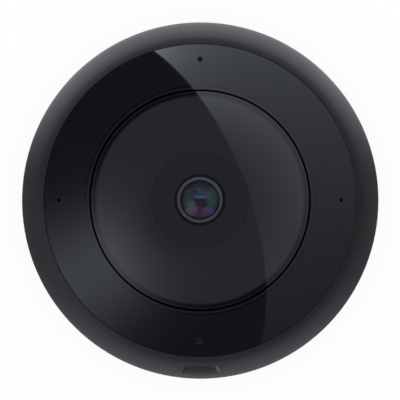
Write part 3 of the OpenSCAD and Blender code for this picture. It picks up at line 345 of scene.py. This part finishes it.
# Carrier: acetal, slippery and slightly waxy, with flow marks of 2 mm from its small gate
mottled("moulded_acetal", 2, "#2b2b2d", "#39393c",
        {"Roughness": 0.45, "IOR": 1.48, "Subsurface Weight": 0.05, "Subsurface Scale": 0.5 * MM},
        "filter_carrier")

# Panes: the blocking one is blue glass and the other is clear. They meet 3 mm to the left of the
# lens's axis when the blocking pane is behind the lens
meet_x = -3.0
panes, tree, place = new_finish("filter_glass")
side = add(tree, "SeparateXYZ", {0: place}).outputs["X"]
night = add(tree, "MapRange", {"Value": side, "From Min": (meet_x + 0.1) * MM,
                               "From Max": (meet_x - 0.1) * MM})
colour = add(tree, "Mix", {"Factor": night, "A": linear("#5f9fc4"), "B": linear("#e4ecec")}, data_type="RGBA")
surface = add(tree, "BsdfPrincipled", {"Base Color": colour, "Roughness": 0.02, "IOR": 1.52,
                                       "Transmission Weight": 0.8})
wear(panes, surface, "filter_panes")

# Arm: sintered magnet alloy, nickel plated, with a bright skin broken by pores of 0.15 mm
mottled("nickel_plated_magnet", 0.15, "#8f8c85", "#b5b2aa", {"Metallic": 1.0, "Roughness": (0.22, 0.4)},
        "drive_arm")

# Coil: enamelled copper wire 0.08 mm thick, drawn at 0.25 mm, wound round the bobbin
wire, tree, place = new_finish("enamelled_copper_wire")
turns = add(tree, "TexWave", {"Vector": place, "Scale": waves(0.25), "Distortion": 0.4},
            wave_type="BANDS", bands_direction="X").outputs["Fac"]
colour = add(tree, "Mix", {"Factor": turns, "A": linear("#6e3416"), "B": linear("#c0703c")}, data_type="RGBA")
bump = add(tree, "Bump", {"Height": turns, "Distance": 0.05 * MM})
surface = add(tree, "BsdfPrincipled", {"Base Color": colour, "Metallic": 1.0, "Roughness": 0.3,
                                       "Coat Weight": 0.5, "Normal": bump})
wear(wire, surface, "drive_coil")

# ---- Image sensor ------------------------------------------------------------------------------
# A ceramic package under a cover glass, soldered to the middle of its board. Its fine grid of
# pixels splits the light, so that the active area shimmers green and violet.

# Silicon under glass: pixels are 0.002 mm, and the shimmer that they give is drawn in bands of 1.2 mm
silicon, tree, place = new_finish("image_sensor_silicon")
active = patch(tree, place, (0.0, 0.0), (3.9, 3.9), 0.02)
rows = add(tree, "TexWave", {"Vector": place, "Scale": waves(1.2), "Distortion": 2.0},
           wave_type="BANDS", bands_direction="DIAGONAL").outputs["Fac"]
shimmer = add(tree, "Mix", {"Factor": rows, "A": linear("#24503e"), "B": linear("#4b2c66")}, data_type="RGBA")
colour = add(tree, "Mix", {"Factor": active, "A": linear("#3a3a40"), "B": shimmer}, data_type="RGBA")
surface = add(tree, "BsdfPrincipled", {"Base Color": colour, "Roughness": 0.12, "IOR": 1.5,
                                       "Coat Weight": 1.0})
wear(silicon, surface, "image_sensor")

# ---- Boards ------------------------------------------------------------------------------------
# Four circuit boards are etched, masked and cut from glass-fibre laminate: the sensor's, the main
# one on the cooling pedestal, the lamps' ring and the face's ring for the microphones.


def laminate(name, mask, copper, *boards):
    """Solder mask over etched tracks 0.8 mm apart, with plated holes 0.5 mm across, 4 mm apart."""
    board, tree, place = new_finish(name)
    tracks = add(tree, "TexBrick", {"Vector": place, "Scale": 1 / (3.2 * MM), "Mortar Size": 0.03,
                                    "Row Height": 0.25, "Brick Width": 1.4},
                 offset=0.35).outputs["Fac"]
    cells = add(tree, "TexVoronoi", {"Vector": place, "Scale": 1 / (4 * MM)}).outputs["Distance"]
    hole = add(tree, "MapRange", {"Value": cells, "From Min": 0.10, "From Max": 0.08})
    masked = add(tree, "Mix", {"Factor": tracks, "A": linear(mask), "B": linear(copper)}, data_type="RGBA")
    colour = add(tree, "Mix", {"Factor": hole, "A": masked, "B": linear("#b99a5a")}, data_type="RGBA")
    bump = add(tree, "Bump", {"Height": tracks, "Distance": 0.03 * MM})
    surface = add(tree, "BsdfPrincipled", {"Base Color": colour, "Roughness": 0.34, "IOR": 1.5,
                                           "Normal": bump})
    wear(board, surface, *boards)


laminate("green_circuit_board", "#14452c", "#2a6b45", "sensor_board", "main_board")
laminate("black_circuit_board", "#111213", "#26282a", "lamp_board", "face_board")

# ---- Parts on the boards -----------------------------------------------------------------------
# The processor, the microphones, the light sensor and the lamps are soldered to the boards. Turned
# brass spacers carry the sensor's board, and a moulded connector joins it to the main one.

# Chip package: moulded epoxy with silica grit of 0.05 mm, drawn at 0.2 mm, matt from the mould
epoxy = mottled("moulded_epoxy", 0.2, "#141415", "#1f1f21", {"Roughness": 0.55, "IOR": 1.55}, "processor",
                relief=0.006, detail=4.0)

# Thermal pad: silicone putty filled with alumina, which gives it a chalky grain of 0.4 mm
mottled("alumina_filled_silicone", 0.4, "#7d8288", "#94999e", {"Roughness": 0.75, "IOR": 1.45}, "thermal_pad",
        relief=0.03)

# Brass: turned bright, tarnishing in patches of 1.5 mm
mottled("turned_brass", 1.5, "#a98343", "#cfae6a", {"Metallic": 1.0, "Roughness": (0.42, 0.25)},
        "board_spacers")

# Connector: heat-proof polymer, ivory, with the swirl that liquid crystal resin leaves, 1 mm across
mottled("liquid_crystal_polymer", 1, "#b9b09a", "#d3cbb6", {"Roughness": 0.5, "IOR": 1.6}, "board_connector",
        detail=3.0)

# Lamp lenses: clear epoxy tinted so dark that only infrared light gets out
mottled("tinted_epoxy_lens", 1.2, "#17121c", "#2b2233", {"Roughness": 0.06, "IOR": 1.53, "Coat Weight": 0.3},
        "infrared_lamps")

# Microphone cans: drawn in nickel silver, with the die's faint scratches every 0.15 mm
can, tree, place = new_finish("drawn_nickel_silver")
scratches = add(tree, "TexWave", {"Vector": place, "Scale": waves(0.15), "Distortion": 3.0,
                                  "Detail": 3.0}, bands_direction="X").outputs["Fac"]
colour = add(tree, "Mix", {"Factor": scratches, "A": linear("#a5a296"), "B": linear("#c2bfb3")},
             data_type="RGBA")
rough = add(tree, "MapRange", {"Value": scratches, **swing(0.22, 0.36)})
surface = add(tree, "BsdfPrincipled", {"Base Color": colour, "Metallic": 1.0, "Roughness": rough})
wear(can, surface, "microphones")

# Chips at the ports: white ceramic with a fired grain of 0.1 mm
mottled("fired_ceramic", 0.1, "#b7b6b0", "#d2d1cb", {"Roughness": 0.4, "IOR": 1.7}, "face_chips")

# ---- Solder joints -----------------------------------------------------------------------------
# The network jack's eight pins come up through the main board. A wave of tin leaves a fillet round
# each of them, with the clipped end of the pin standing out of it.

board_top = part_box("main_board")[1][2]


def pick_faces(piece, wanted):
    """In edit mode, selects only the faces whose normal and middle pass the test. Places in it are
    measured from the piece's own origin."""
    mesh = bmesh.from_edit_mesh(piece.data)
    bpy.ops.mesh.select_mode(type="FACE")
    bpy.ops.mesh.select_all(action="DESELECT")
    for face in mesh.faces:
        face.select_set(wanted(face.normal, face.calc_center_median()))
    bmesh.update_edit_mesh(piece.data)


def pick_edges(piece, wanted):
    """The same for edges, by their two corners."""
    mesh = bmesh.from_edit_mesh(piece.data)
    bpy.ops.mesh.select_mode(type="EDGE")
    bpy.ops.mesh.select_all(action="DESELECT")
    for edge in mesh.edges:
        edge.select_set(wanted(*[corner.co for corner in edge.verts]))
    bmesh.update_edit_mesh(piece.data)


def pull(x, y, z):
    """Extrudes what is selected and moves it by that much, in millimetres."""
    bpy.ops.mesh.extrude_region_move(TRANSFORM_OT_translate={"value": (x * MM, y * MM, z * MM)})


def new_block(size, x, z):
    """Adds a block and opens it in edit mode. Its size and the place of its middle are in millimetres."""
    bpy.ops.object.select_all(action="DESELECT")
    bpy.ops.mesh.primitive_cube_add(size=1.0, scale=[value * MM for value in size],
                                    location=(x * MM, 0, z * MM))
    bpy.ops.object.mode_set(mode="EDIT")
    return bpy.context.object


def select_only(*pieces):
    """Selects these objects alone, the last one active."""
    bpy.ops.object.select_all(action="DESELECT")
    for piece in pieces:
        piece.select_set(True)
        bpy.context.view_layer.objects.active = piece


def lay_out(model, name, places):
    """Copies a model to each place on the main board, an x, y in millimetres and a turn in degrees."""
    select_only(model)
    bpy.ops.object.transform_apply(location=True, rotation=True, scale=True)
    copies = []
    for x, y, turn in places:
        select_only(model)
        bpy.ops.object.duplicate()
        copies.append(bpy.context.object)
        copies[-1].location = (x * MM, y * MM, board_top)
        copies[-1].rotation_euler.z = math.radians(turn)
    bpy.data.objects.remove(model)
    select_only(*copies)
    bpy.ops.object.join()
    bpy.ops.object.transform_apply(location=True, rotation=True, scale=True)
    bpy.ops.object.shade_smooth_by_angle(angle=math.radians(40))
    group = bpy.context.object
    group.name = name
    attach(group, "camera")
    return group


# One joint: the fillet narrows towards the pin, which is clipped 0.7 mm above it
bpy.ops.object.select_all(action="DESELECT")
bpy.ops.mesh.primitive_cone_add(vertices=20, radius1=0.8 * MM, radius2=0.42 * MM, depth=0.35 * MM,
                                location=(0, 0, 0.175 * MM))
joint = bpy.context.object
bpy.ops.object.mode_set(mode="EDIT")
pick_faces(joint, lambda normal, middle: normal.z > 0.9)
pull(0, 0, 0.25)
bpy.ops.transform.resize(value=(0.62, 0.62, 1.0))
pull(0, 0, 0.7)
bpy.ops.mesh.bevel(offset=0.06 * MM, segments=2, affect="EDGES")
bpy.ops.object.mode_set(mode="OBJECT")

# Tin: bright, with a dull frost where it set, in patches of 0.4 mm
tin = mottled("soldered_tin", 0.4, "#a9abad", "#cfd1d2", {"Metallic": 1.0, "Roughness": (0.2, 0.42)})
joint.data.materials.append(tin)
pin_pitch, pin_rows = 1.27, (23.3, 20.8)
lay_out(joint, "jack_solder_joints",
        [((i - 3.5) * pin_pitch, pin_rows[i % 2], 0) for i in range(8)])

# ---- Chip capacitors ---------------------------------------------------------------------------
# Small ceramic blocks steady the supply beside each large part. They are fired in layers, dipped in
# tin at both ends, and set on the board by machine.

block = new_block((1.6, 0.8, 0.7), 0, 0.38)
# The tin is thick up to 0.45 mm from the middle, 0.03 mm proud, and runs out at 0.41 mm
thick_x, thin_x = 0.45, 0.41
for cut_x in (-thick_x, -thin_x, thin_x, thick_x):
    bpy.ops.mesh.select_all(action="SELECT")
    bpy.ops.mesh.bisect(plane_co=(cut_x * MM, 0, 0), plane_no=(1, 0, 0))
for side in (-1, 1):
    pick_faces(block, lambda normal, middle: middle.x * side > thick_x * MM)
    bpy.ops.transform.resize(value=(1.0, 1.08, 1.08))
bpy.ops.mesh.select_all(action="DESELECT")
bpy.ops.mesh.select_mode(type="EDGE")
bpy.ops.mesh.edges_select_sharp(sharpness=math.radians(60))
bpy.ops.mesh.bevel(offset=0.05 * MM, segments=2, affect="EDGES")
bpy.ops.object.mode_set(mode="OBJECT")

# Fired ceramic: buff to brown from one batch to the next, which changes over 7 mm of the board
titanate = mottled("fired_barium_titanate", 7, "#5d452f", "#a58a63", {"Roughness": 0.35, "IOR": 1.7})
block.data.materials.append(titanate)
block.data.materials.append(tin)
for face in block.data.polygons:
    face.material_index = 1 if abs(face.center.x) > 0.42 * MM else 0
lay_out(block, "chip_capacitors",
        [(-14 + 3.2 * i, y, 0) for i in range(8) for y in (-18.5, -21.5)]
        + [(x, y, 90) for x in (-14, 14) for y in (25, 28, 31)]
        + [(x, -8.5, 0) for x in (-32, -28.8, -25.6, 25.6, 28.8, 32)])

# ---- Memory chips and network filter -----------------------------------------------------------
# Two thin memory packages and the network jack's filter are moulded in black epoxy round their lead
# frames. The leads are bent down and out, and soldered flat on the board.


def leaded_package(size, pitch, count):
    """A moulded block of that size in millimetres, with a row of bent leads on its left and its right."""
    length, width, height = [value * MM for value in size]
    standoff, draft, sheet_t = 0.1 * MM, 0.2, 0.12
    middle_z = height / 2 + standoff
    body = new_block(size, 0, middle_z / MM)
    # The mould parts at half height, and its draft narrows the block towards the top and the bottom
    bpy.ops.mesh.select_all(action="SELECT")
    bpy.ops.mesh.bisect(plane_co=(0, 0, middle_z), plane_no=(0, 0, 1))
    for side in (-1, 1):
        pick_faces(body, lambda normal, middle: normal.z * side > 0.9)
        bpy.ops.transform.resize(value=(1 - draft * height / length, 1 - draft * height / width, 1.0))
        bpy.ops.mesh.bevel(offset=0.12 * MM, segments=2, affect="EDGES")
    bpy.ops.object.mode_set(mode="OBJECT")
    body.data.materials.append(epoxy)

    # One lead: a strip that leaves the block at half height, drops to the board and turns out on it
    bpy.ops.object.select_all(action="DESELECT")
    bpy.ops.mesh.primitive_plane_add(size=1.0)
    lead = bpy.context.object
    bpy.ops.object.mode_set(mode="EDIT")
    bpy.ops.mesh.select_all(action="SELECT")
    bpy.ops.transform.resize(value=(0.3 * MM, 0.36 * pitch * MM, 1.0))
    start = (length / 2 + 0.1 * MM, -pitch * MM * (count - 1) / 2, middle_z)
    bpy.ops.transform.translate(value=start)
    pick_edges(lead, lambda one, other: min(one.x, other.x) > start[0])
    pull(0.12, 0, 0.5 * sheet_t - start[2] / MM)
    pull(0.5, 0, 0)
    bpy.ops.object.mode_set(mode="OBJECT")
    row = lead.modifiers.new("row", "ARRAY")
    row.count = count
    row.use_relative_offset = False
    row.use_constant_offset = True
    row.constant_offset_displace = (0, pitch * MM, 0)
    sheet = lead.modifiers.new("sheet", "SOLIDIFY")
    sheet.thickness = sheet_t * MM
    sheet.offset = 0.0
    lead.modifiers.new("far_side", "MIRROR")
    for name in ("row", "sheet", "far_side"):
        bpy.ops.object.modifier_apply(modifier=name)
    bpy.ops.object.mode_set(mode="EDIT")
    bpy.ops.mesh.select_all(action="SELECT")
    bpy.ops.mesh.normals_make_consistent(inside=False)
    bpy.ops.object.mode_set(mode="OBJECT")
    lead.data.materials.append(tin)
    select_only(lead, body)
    bpy.ops.object.join()
    return body


memory = leaded_package((8.0, 12.0, 1.0), 0.8, 14)
lay_out(memory, "memory_chips", [(-28.5, 2, 0), (28.5, 2, 0)])
filter_block = leaded_package((15.0, 9.0, 3.6), 1.27, 7)
lay_out(filter_block, "network_filter", [(0, 30, 0)])

# ---- Crystal -----------------------------------------------------------------------------------
# The processor's clock is a quartz crystal sealed in a flanged can of nickel silver, which is welded
# round its foot.

# The flange is 5 by 3.2 mm with round corners, and the can stands up from inside its edge
crystal = new_block((5.0, 3.2, 0.3), 0, 0.15)
pick_edges(crystal, lambda one, other: abs(one.z - other.z) > 0.2 * MM)
bpy.ops.mesh.bevel(offset=0.7 * MM, segments=5, affect="EDGES")
pick_faces(crystal, lambda normal, middle: normal.z > 0.9)
bpy.ops.mesh.inset(thickness=0.35 * MM)
pull(0, 0, 0.9)
bpy.ops.mesh.bevel(offset=0.15 * MM, segments=3, affect="EDGES")
bpy.ops.object.mode_set(mode="OBJECT")
crystal.data.materials.append(can)
lay_out(crystal, "crystal", [(0, -26.5, 0)])

# ---- Status light guide and sensor window ------------------------------------------------------
# Two small plugs fill the ports at the top and the bottom of the face. Both are moulded in
# acrylic: the light guide milky, to spread the lamp's light, and the sensor's window smoked.

# Milky acrylic: its middle, 46.3 mm above the lens, is painted lighter than its rim, as the light that
# wanders in it would show
milky, tree, place = new_finish("diffusing_acrylic")
heart = patch(tree, place, (0.0, 46.3), (0.35, 0.35), 0.5)
colour = add(tree, "Mix", {"Factor": heart, "A": linear("#0c0c0d"), "B": linear("#232426")}, data_type="RGBA")
surface = add(tree, "BsdfPrincipled", {"Base Color": colour, "Roughness": 0.2, "IOR": 1.49,
                                       "Subsurface Weight": 0.3, "Subsurface Scale": 0.6 * MM})
wear(milky, surface, "status_light_guide")

# Smoked acrylic: a shade lighter than the cover round it, with the resin's swirl, 1 mm across
pane, tree, place = new_finish("smoked_acrylic")
swirl = add(tree, "TexNoise", {"Vector": place, "Scale": lumps(1)})
colour = add(tree, "Mix", {"Factor": swirl, "A": linear("#18191c"), "B": linear("#1d1e21")}, data_type="RGBA")
surface = add(tree, "BsdfPrincipled", {"Base Color": colour, "Roughness": 0.08, "IOR": 1.49,
                                       "Normal": dome_normal(tree, place)})
wear(pane, surface, "sensor_window")

# ---- Ribbon cables -----------------------------------------------------------------------------
# Flat cables take power and signals from the main board to the lamps and to the face. Copper
# tracks are laid between two amber polyimide films, and the ends slip into their connectors.

# Polyimide over copper: the tracks are 0.5 mm apart and show through the film as darker stripes
film, tree, place = new_finish("polyimide_film")
tracks = add(tree, "TexWave", {"Vector": place, "Scale": waves(0.5)}, bands_direction="Y").outputs["Fac"]
colour = add(tree, "Mix", {"Factor": tracks, "A": linear("#7a3d12"), "B": linear("#c67a2b")},
             data_type="RGBA")
bump = add(tree, "Bump", {"Height": tracks, "Distance": 0.03 * MM})
surface = add(tree, "BsdfPrincipled", {"Base Color": colour, "Roughness": 0.25, "IOR": 1.7,
                                       "Coat Weight": 0.3, "Normal": bump})
wear(film, surface, "ribbon_cables")

# ---- Network jack ------------------------------------------------------------------------------
# The jack's shell is folded from tinned steel sheet and soldered to the main board. Its mouth
# comes out through the rear cover, in the middle of the plate's cable hole.

# Tinned sheet: it spangles in patches of 2 mm, and the rollers leave lines 0.2 mm apart
tinned, tree, place = new_finish("tinned_steel")
spangle = add(tree, "TexNoise", {"Vector": place, "Scale": lumps(2)})
rolled = add(tree, "TexWave", {"Vector": place, "Scale": waves(0.2), "Distortion": 2.0,
                               "Detail": 2.0}, bands_direction="Z").outputs["Fac"]
colour = add(tree, "Mix", {"Factor": spangle, "A": linear("#a6a6a2"), "B": linear("#c4c4c0")},
             data_type="RGBA")
rough = add(tree, "MapRange", {"Value": rolled, **swing(0.26, 0.4)})
surface = add(tree, "BsdfPrincipled", {"Base Color": colour, "Metallic": 1.0, "Roughness": rough})
wear(tinned, surface, "network_jack")

# The eight springs in its socket are phosphor bronze, gold plated over nickel
mottled("gold_plated_bronze", 0.6, "#c79a3c", "#e0bb66", {"Metallic": 1.0, "Roughness": (0.18, 0.3)},
        "jack_contacts")

# ---- Power parts -------------------------------------------------------------------------------
# The transformer and the capacitors turn the network cable's voltage into the boards' own. The
# core is sintered ferrite round a taped winding, and the capacitors' cans are drawn aluminium.

# Ferrite: ground after sintering, which leaves it dark grey with a grain of 0.3 mm
ferrite = mottled("sintered_ferrite", 0.3, "#26272a", "#36373b", {"Roughness": (0.35, 0.55), "IOR": 2.0},
                  "power_transformer", relief=0.01, detail=3.0)

# Drawn can: bright metal, which the die has mottled in patches of 0.4 mm
mottled("drawn_aluminium", 0.4, "#b3b4b6", "#cccdcf", {"Metallic": 1.0, "Roughness": (0.24, 0.38)},
        "power_capacitors")

# ---- Power inductors ---------------------------------------------------------------------------
# Each of the two supplies has a shielded inductor: a ferrite drum with its winding inside, glued in a
# square ferrite shield, which stands on two tinned feet.

# Shield: a block 7.3 mm square, whose top is 3.8 mm above the board, on feet 0.2 mm thick
choke = new_block((7.3, 7.3, 3.6), 0, 2.0)
pick_edges(choke, lambda one, other: abs(one.z - other.z) > 2 * MM)
bpy.ops.mesh.bevel(offset=1.4 * MM, segments=2, affect="EDGES")
# The glue sinks between shield and drum: the top is inset and pushed down, and the drum stands in it
pick_faces(choke, lambda normal, middle: normal.z > 0.9)
bpy.ops.mesh.inset(thickness=0.45 * MM)
pull(0, 0, -0.5)
bpy.ops.mesh.select_all(action="DESELECT")
bpy.ops.mesh.primitive_cylinder_add(vertices=40, radius=2.75 * MM, depth=1.2 * MM, location=(0, 0, 3.3 * MM))
pick_faces(choke, lambda normal, middle: normal.z > 0.9 and middle.z > 1.85 * MM)
bpy.ops.mesh.inset(thickness=0.3 * MM)
bpy.ops.mesh.bevel(offset=0.15 * MM, segments=2, affect="EDGES")
bpy.ops.object.mode_set(mode="OBJECT")
choke.data.materials.append(ferrite)

# Feet: strips of tinned copper folded under two sides
foot = new_block((1.6, 4.4, 0.2), 3.0, 0.1)
pick_faces(foot, lambda normal, middle: normal.x > 0.9)
pull(0.12, 0, 0)
pick_faces(foot, lambda normal, middle: normal.z > 0.9 and middle.x > 0.8 * MM)
pull(0, 0, 1.6)
bpy.ops.object.mode_set(mode="OBJECT")
foot.modifiers.new("far_side", "MIRROR")
bpy.ops.object.transform_apply(location=True, rotation=True, scale=True)
bpy.ops.object.modifier_apply(modifier="far_side")
bpy.ops.object.mode_set(mode="EDIT")
bpy.ops.mesh.select_all(action="SELECT")
bpy.ops.mesh.normals_make_consistent(inside=False)
bpy.ops.object.mode_set(mode="OBJECT")
foot.data.materials.append(tin)
select_only(foot, choke)
bpy.ops.object.join()
lay_out(choke, "power_inductors", [(-27, 16.5, 0), (27, 16.5, 90)])

# ---- Reset plunger -----------------------------------------------------------------------------
# A small pin in the back of the housing reaches through to the switch on the main board. It is
# moulded in uncoloured acetal and is worked with a pointed tool.

# Uncoloured acetal: milky, with the light wandering 0.5 mm into it
mottled("uncoloured_acetal", 1.5, "#c4c3bc", "#d6d5cf",
        {"Roughness": 0.4, "IOR": 1.48, "Subsurface Weight": 0.2, "Subsurface Scale": 0.5 * MM},
        "reset_plunger")

# ---- Release spring ----------------------------------------------------------------------------
# A coil of stainless spring wire pushes the release tab out, so that its tooth holds the plate.

# Drawn wire: bright, with the marks of the die mottling it in patches of 0.3 mm
mottled("stainless_spring_wire", 0.3, "#8c8b88", "#b0afab", {"Metallic": 1.0, "Roughness": (0.2, 0.38)},
        "release_spring")

# ---- Screws ------------------------------------------------------------------------------------
# Four kinds of small machine screw hold the cover, the boards, the sensor's board and the housing.
# They are cold headed in steel, rolled and plated black.

# Black zinc: satin, worn brighter where the driver and the thread rub, in patches of 0.5 mm
mottled("black_zinc_plated_steel", 0.5, "#2d2d30", "#56565a", {"Metallic": 1.0, "Roughness": (0.45, 0.28)},
        "housing_screws", "board_screws", "sensor_screws", "cover_screws")

# ---- Table -------------------------------------------------------------------------------------
# The camera lies on its back on white paper, which runs off to the horizon. A photographer lights it
# until it is nearly blown out, and here the paper itself glows, so that the room can stay dim.


def looked_at(tree):
    """1 where the eye sees the surface: straight, in a reflection or through clear glass. Else 0."""
    rays = add(tree, "LightPath").outputs
    seen = add(tree, "Math", {0: rays["Is Camera Ray"], 1: rays["Is Glossy Ray"]}, operation="MAXIMUM")
    return add(tree, "Math", {0: seen, 1: rays["Is Transmission Ray"]}, operation="MAXIMUM")


bpy.ops.object.select_all(action="DESELECT")
bpy.ops.mesh.primitive_circle_add(vertices=96, radius=3.0, fill_type="NGON", location=(0, 0, -0.2 * MM))
table = bpy.context.object
table.name = "table_top"
paper = bpy.data.materials.new("white_paper")
paper.use_nodes = True
tree = paper.node_tree
tree.nodes.clear()
matt = add(tree, "BsdfPrincipled", {"Base Color": linear("#f4f4f4"), "Roughness": 0.9})
blown_out = 0.92
share = add(tree, "Math", {0: looked_at(tree), 1: blown_out}, operation="MULTIPLY")
white = add(tree, "Emission", {"Color": (1, 1, 1, 1), "Strength": 1.0})
mixed = add(tree, "MixShader", {0: share, 1: matt, 2: white})
add(tree, "OutputMaterial", {"Surface": mixed})
table.data.materials.append(paper)

# ---- Studio ------------------------------------------------------------------------------------
# A wide lamp overhead and a grey room light the camera evenly. Cards that only its gloss can see
# stand round it, as they do for a photograph of a black product.
room = bpy.data.worlds.new("room")
bpy.context.scene.world = room
room.use_nodes = True
tree = room.node_tree
tree.nodes.clear()
grey = add(tree, "Background", {"Color": (1, 1, 1, 1), "Strength": 0.45})
white = add(tree, "Background", {"Color": (1, 1, 1, 1), "Strength": 1.0})
mixed = add(tree, "MixShader", {0: looked_at(tree), 1: grey, 2: white})
add(tree, "OutputWorld", {"Surface": mixed})

bpy.ops.object.light_add(type="AREA", location=(0, 0, 1.3))
lamp = bpy.context.object
lamp.data.size = 1.6
lamp.data.energy = 16.0
lamp.visible_glossy = False


def only_gloss(card, name, emission):
    """Makes a card that lights nothing and that only the object's gloss can see."""
    card.name = name
    card.visible_camera = card.visible_diffuse = card.visible_shadow = card.visible_transmission = False
    card.data.materials.append(emission)


# Overhead card, 1 m above the face. Its bright part begins at a curved edge, as the photograph
# shows it, and grows stronger towards the top. A soft spot shines from the lower left.
face_z = 0.043
bpy.ops.mesh.primitive_plane_add(size=3.4, location=(0, 0, face_z + 1.0))
overhead = bpy.context.object
light, tree, spot = new_finish("overhead_card_light")
# The edge's circle, the brightest point and the spot's direction are places on the card, in metres
edge_middle, edge_r, edge_soft = (-2.108, -0.751, 0.0), 2.478, 0.004
brightest, spot_way = (-0.29, 0.92, 0.0), (-0.848, -0.530, 0.0)
y = add(tree, "SeparateXYZ", {0: spot}).outputs["Y"]
reach = add(tree, "VectorMath", {0: spot}, operation="LENGTH")
out = add(tree, "VectorMath", {0: spot, 1: edge_middle}, operation="DISTANCE")
edge = add(tree, "MapRange", {"Value": out, "From Min": edge_r - edge_soft, "From Max": edge_r + edge_soft})
fade = add(tree, "MapRange", {"Value": reach, "From Min": 0.17, "From Max": 0.54})
# Its level is 0.42 on the middle line and climbs up the card, up to 4 times that, with a flare on it
climb = add(tree, "Math", {0: y, 1: 1.1}, operation="MULTIPLY")
climb = add(tree, "Math", {0: climb}, operation="EXPONENT")
climb = add(tree, "Math", {0: climb, 1: 4.0}, operation="MINIMUM")
climb = add(tree, "Math", {0: climb, 1: 0.42}, operation="MULTIPLY")
flare = add(tree, "VectorMath", {0: spot, 1: brightest}, operation="DISTANCE")
flare = add(tree, "Math", {0: flare, 1: -6.0}, operation="MULTIPLY")
flare = add(tree, "Math", {0: flare}, operation="EXPONENT")
level = add(tree, "Math", {0: flare, 1: 2.6, 2: climb}, operation="MULTIPLY_ADD")
soft_box = add(tree, "Math", {0: edge, 1: fade}, operation="MULTIPLY")
soft_box = add(tree, "Math", {0: soft_box, 1: level}, operation="MULTIPLY")
# The soft spot is a bell across its direction, narrower the farther out it is
way = add(tree, "VectorMath", {0: spot}, operation="NORMALIZE")
turn = add(tree, "VectorMath", {0: way, 1: spot_way}, operation="DOT_PRODUCT")
turn = add(tree, "Math", {0: turn, 1: 1.0}, operation="SUBTRACT")
narrow = add(tree, "Math", {0: reach, 1: 15.0}, operation="MULTIPLY")
bell = add(tree, "Math", {0: turn, 1: narrow}, operation="MULTIPLY")
bell = add(tree, "Math", {0: bell}, operation="EXPONENT")
rise = add(tree, "MapRange", {"Value": reach, "From Min": 0.28, "From Max": 0.63, "To Max": 1.1})
level = add(tree, "Math", {0: bell, 1: rise, 2: soft_box}, operation="MULTIPLY_ADD")
shine = add(tree, "Emission", {"Color": (0.93, 1.0, 1.09, 1.0), "Strength": level})
wear(light, shine)
only_gloss(overhead, "overhead_card", light)

# Ring of cards round the shell, from 0.06 to 0.42 m out and 0.42 m high: long bright ones behind its
# top, a short one below, and black ones left and right, which draw its dark edges.
inner_r, outer_r = 0.06, 0.42
bpy.ops.mesh.primitive_circle_add(vertices=96, radius=inner_r, fill_type="NOTHING", location=(0, 0, 0.1 * MM))
surround = bpy.context.object
bpy.ops.object.mode_set(mode="EDIT")
bpy.ops.mesh.select_mode(type="VERT")
bpy.ops.mesh.select_all(action="SELECT")
bpy.ops.mesh.extrude_region_move()
bpy.ops.transform.resize(value=(outer_r / inner_r, outer_r / inner_r, 1.0))
bpy.ops.mesh.extrude_region_move(TRANSFORM_OT_translate={"value": (0, 0, outer_r)})
bpy.ops.object.mode_set(mode="OBJECT")
bpy.ops.object.transform_apply(location=True, rotation=True, scale=True)
light, tree, spot = new_finish("surround_card_light")
z = add(tree, "SeparateXYZ", {0: spot}).outputs["Z"]
flat = add(tree, "VectorMath", {0: spot, 1: (1.0, 1.0, 0.0)}, operation="MULTIPLY")
reach = add(tree, "VectorMath", {0: flat}, operation="LENGTH")
way = add(tree, "VectorMath", {0: flat}, operation="NORMALIZE")
y = add(tree, "SeparateXYZ", {0: way}).outputs["Y"]
top = add(tree, "MapRange", {"Value": y, "From Min": 0.12, "From Max": 0.75, "To Min": 0.2,
                             "To Max": 1.2}, interpolation_type="SMOOTHSTEP")
foot = add(tree, "MapRange", {"Value": y, "From Min": -0.3, "From Max": -1.0, "To Max": 0.36},
           interpolation_type="SMOOTHSTEP")
level = add(tree, "Math", {0: top, 1: foot}, operation="ADD")
fall = add(tree, "MapRange", {"Value": z, "From Min": 0.0, "From Max": 0.16, "To Min": 1.0,
                              "To Max": 0.0}, interpolation_type="SMOOTHSTEP")
near = add(tree, "MapRange", {"Value": reach, "From Min": inner_r, "From Max": 0.11, "To Min": 0.5,
                              "To Max": 1.0})
level = add(tree, "Math", {0: level, 1: fall}, operation="MULTIPLY")
level = add(tree, "Math", {0: level, 1: near}, operation="MULTIPLY")
# A weak card low on the left, and a pale cove above all of them, which the face mirrors from the side
low_left = (-0.866, -0.5, 0.0)
left = add(tree, "VectorMath", {0: way, 1: low_left}, operation="DOT_PRODUCT")
left = add(tree, "MapRange", {"Value": left, "From Min": 0.75, "From Max": 1.0, "To Max": 0.25},
           interpolation_type="SMOOTHSTEP")
height = add(tree, "MapRange", {"Value": z, "From Min": 0.02, "From Max": 0.08})
level = add(tree, "Math", {0: left, 1: height, 2: level}, operation="MULTIPLY_ADD")
cove = add(tree, "MapRange", {"Value": z, "From Min": 0.2, "From Max": outer_r, "To Max": 0.4},
           interpolation_type="SMOOTHSTEP")
level = add(tree, "Math", {0: level, 1: cove}, operation="ADD")
shine = add(tree, "Emission", {"Color": (0.95, 0.99, 1.07, 1.0), "Strength": level})
wear(light, shine)
only_gloss(surround, "surround_card", light)

# ---- Photographer's camera ---------------------------------------------------------------------
# It looks down on the face, 1.5 m above the rim and half a degree off the axis, so that 400 pixels
# take in 132.6 mm.
distance, seen_width, rim_z = 1.5, 0.1326, 0.02
bpy.ops.object.camera_add(location=(5.77 * MM, -9.87 * MM, rim_z + distance), rotation=(0.0067, 0.0039, 0.0))
viewer = bpy.context.object
viewer.data.sensor_width = 36.0
viewer.data.lens = viewer.data.sensor_width * distance / seen_width
bpy.context.scene.camera = viewer
bpy.context.scene.view_settings.view_transform = "Standard"
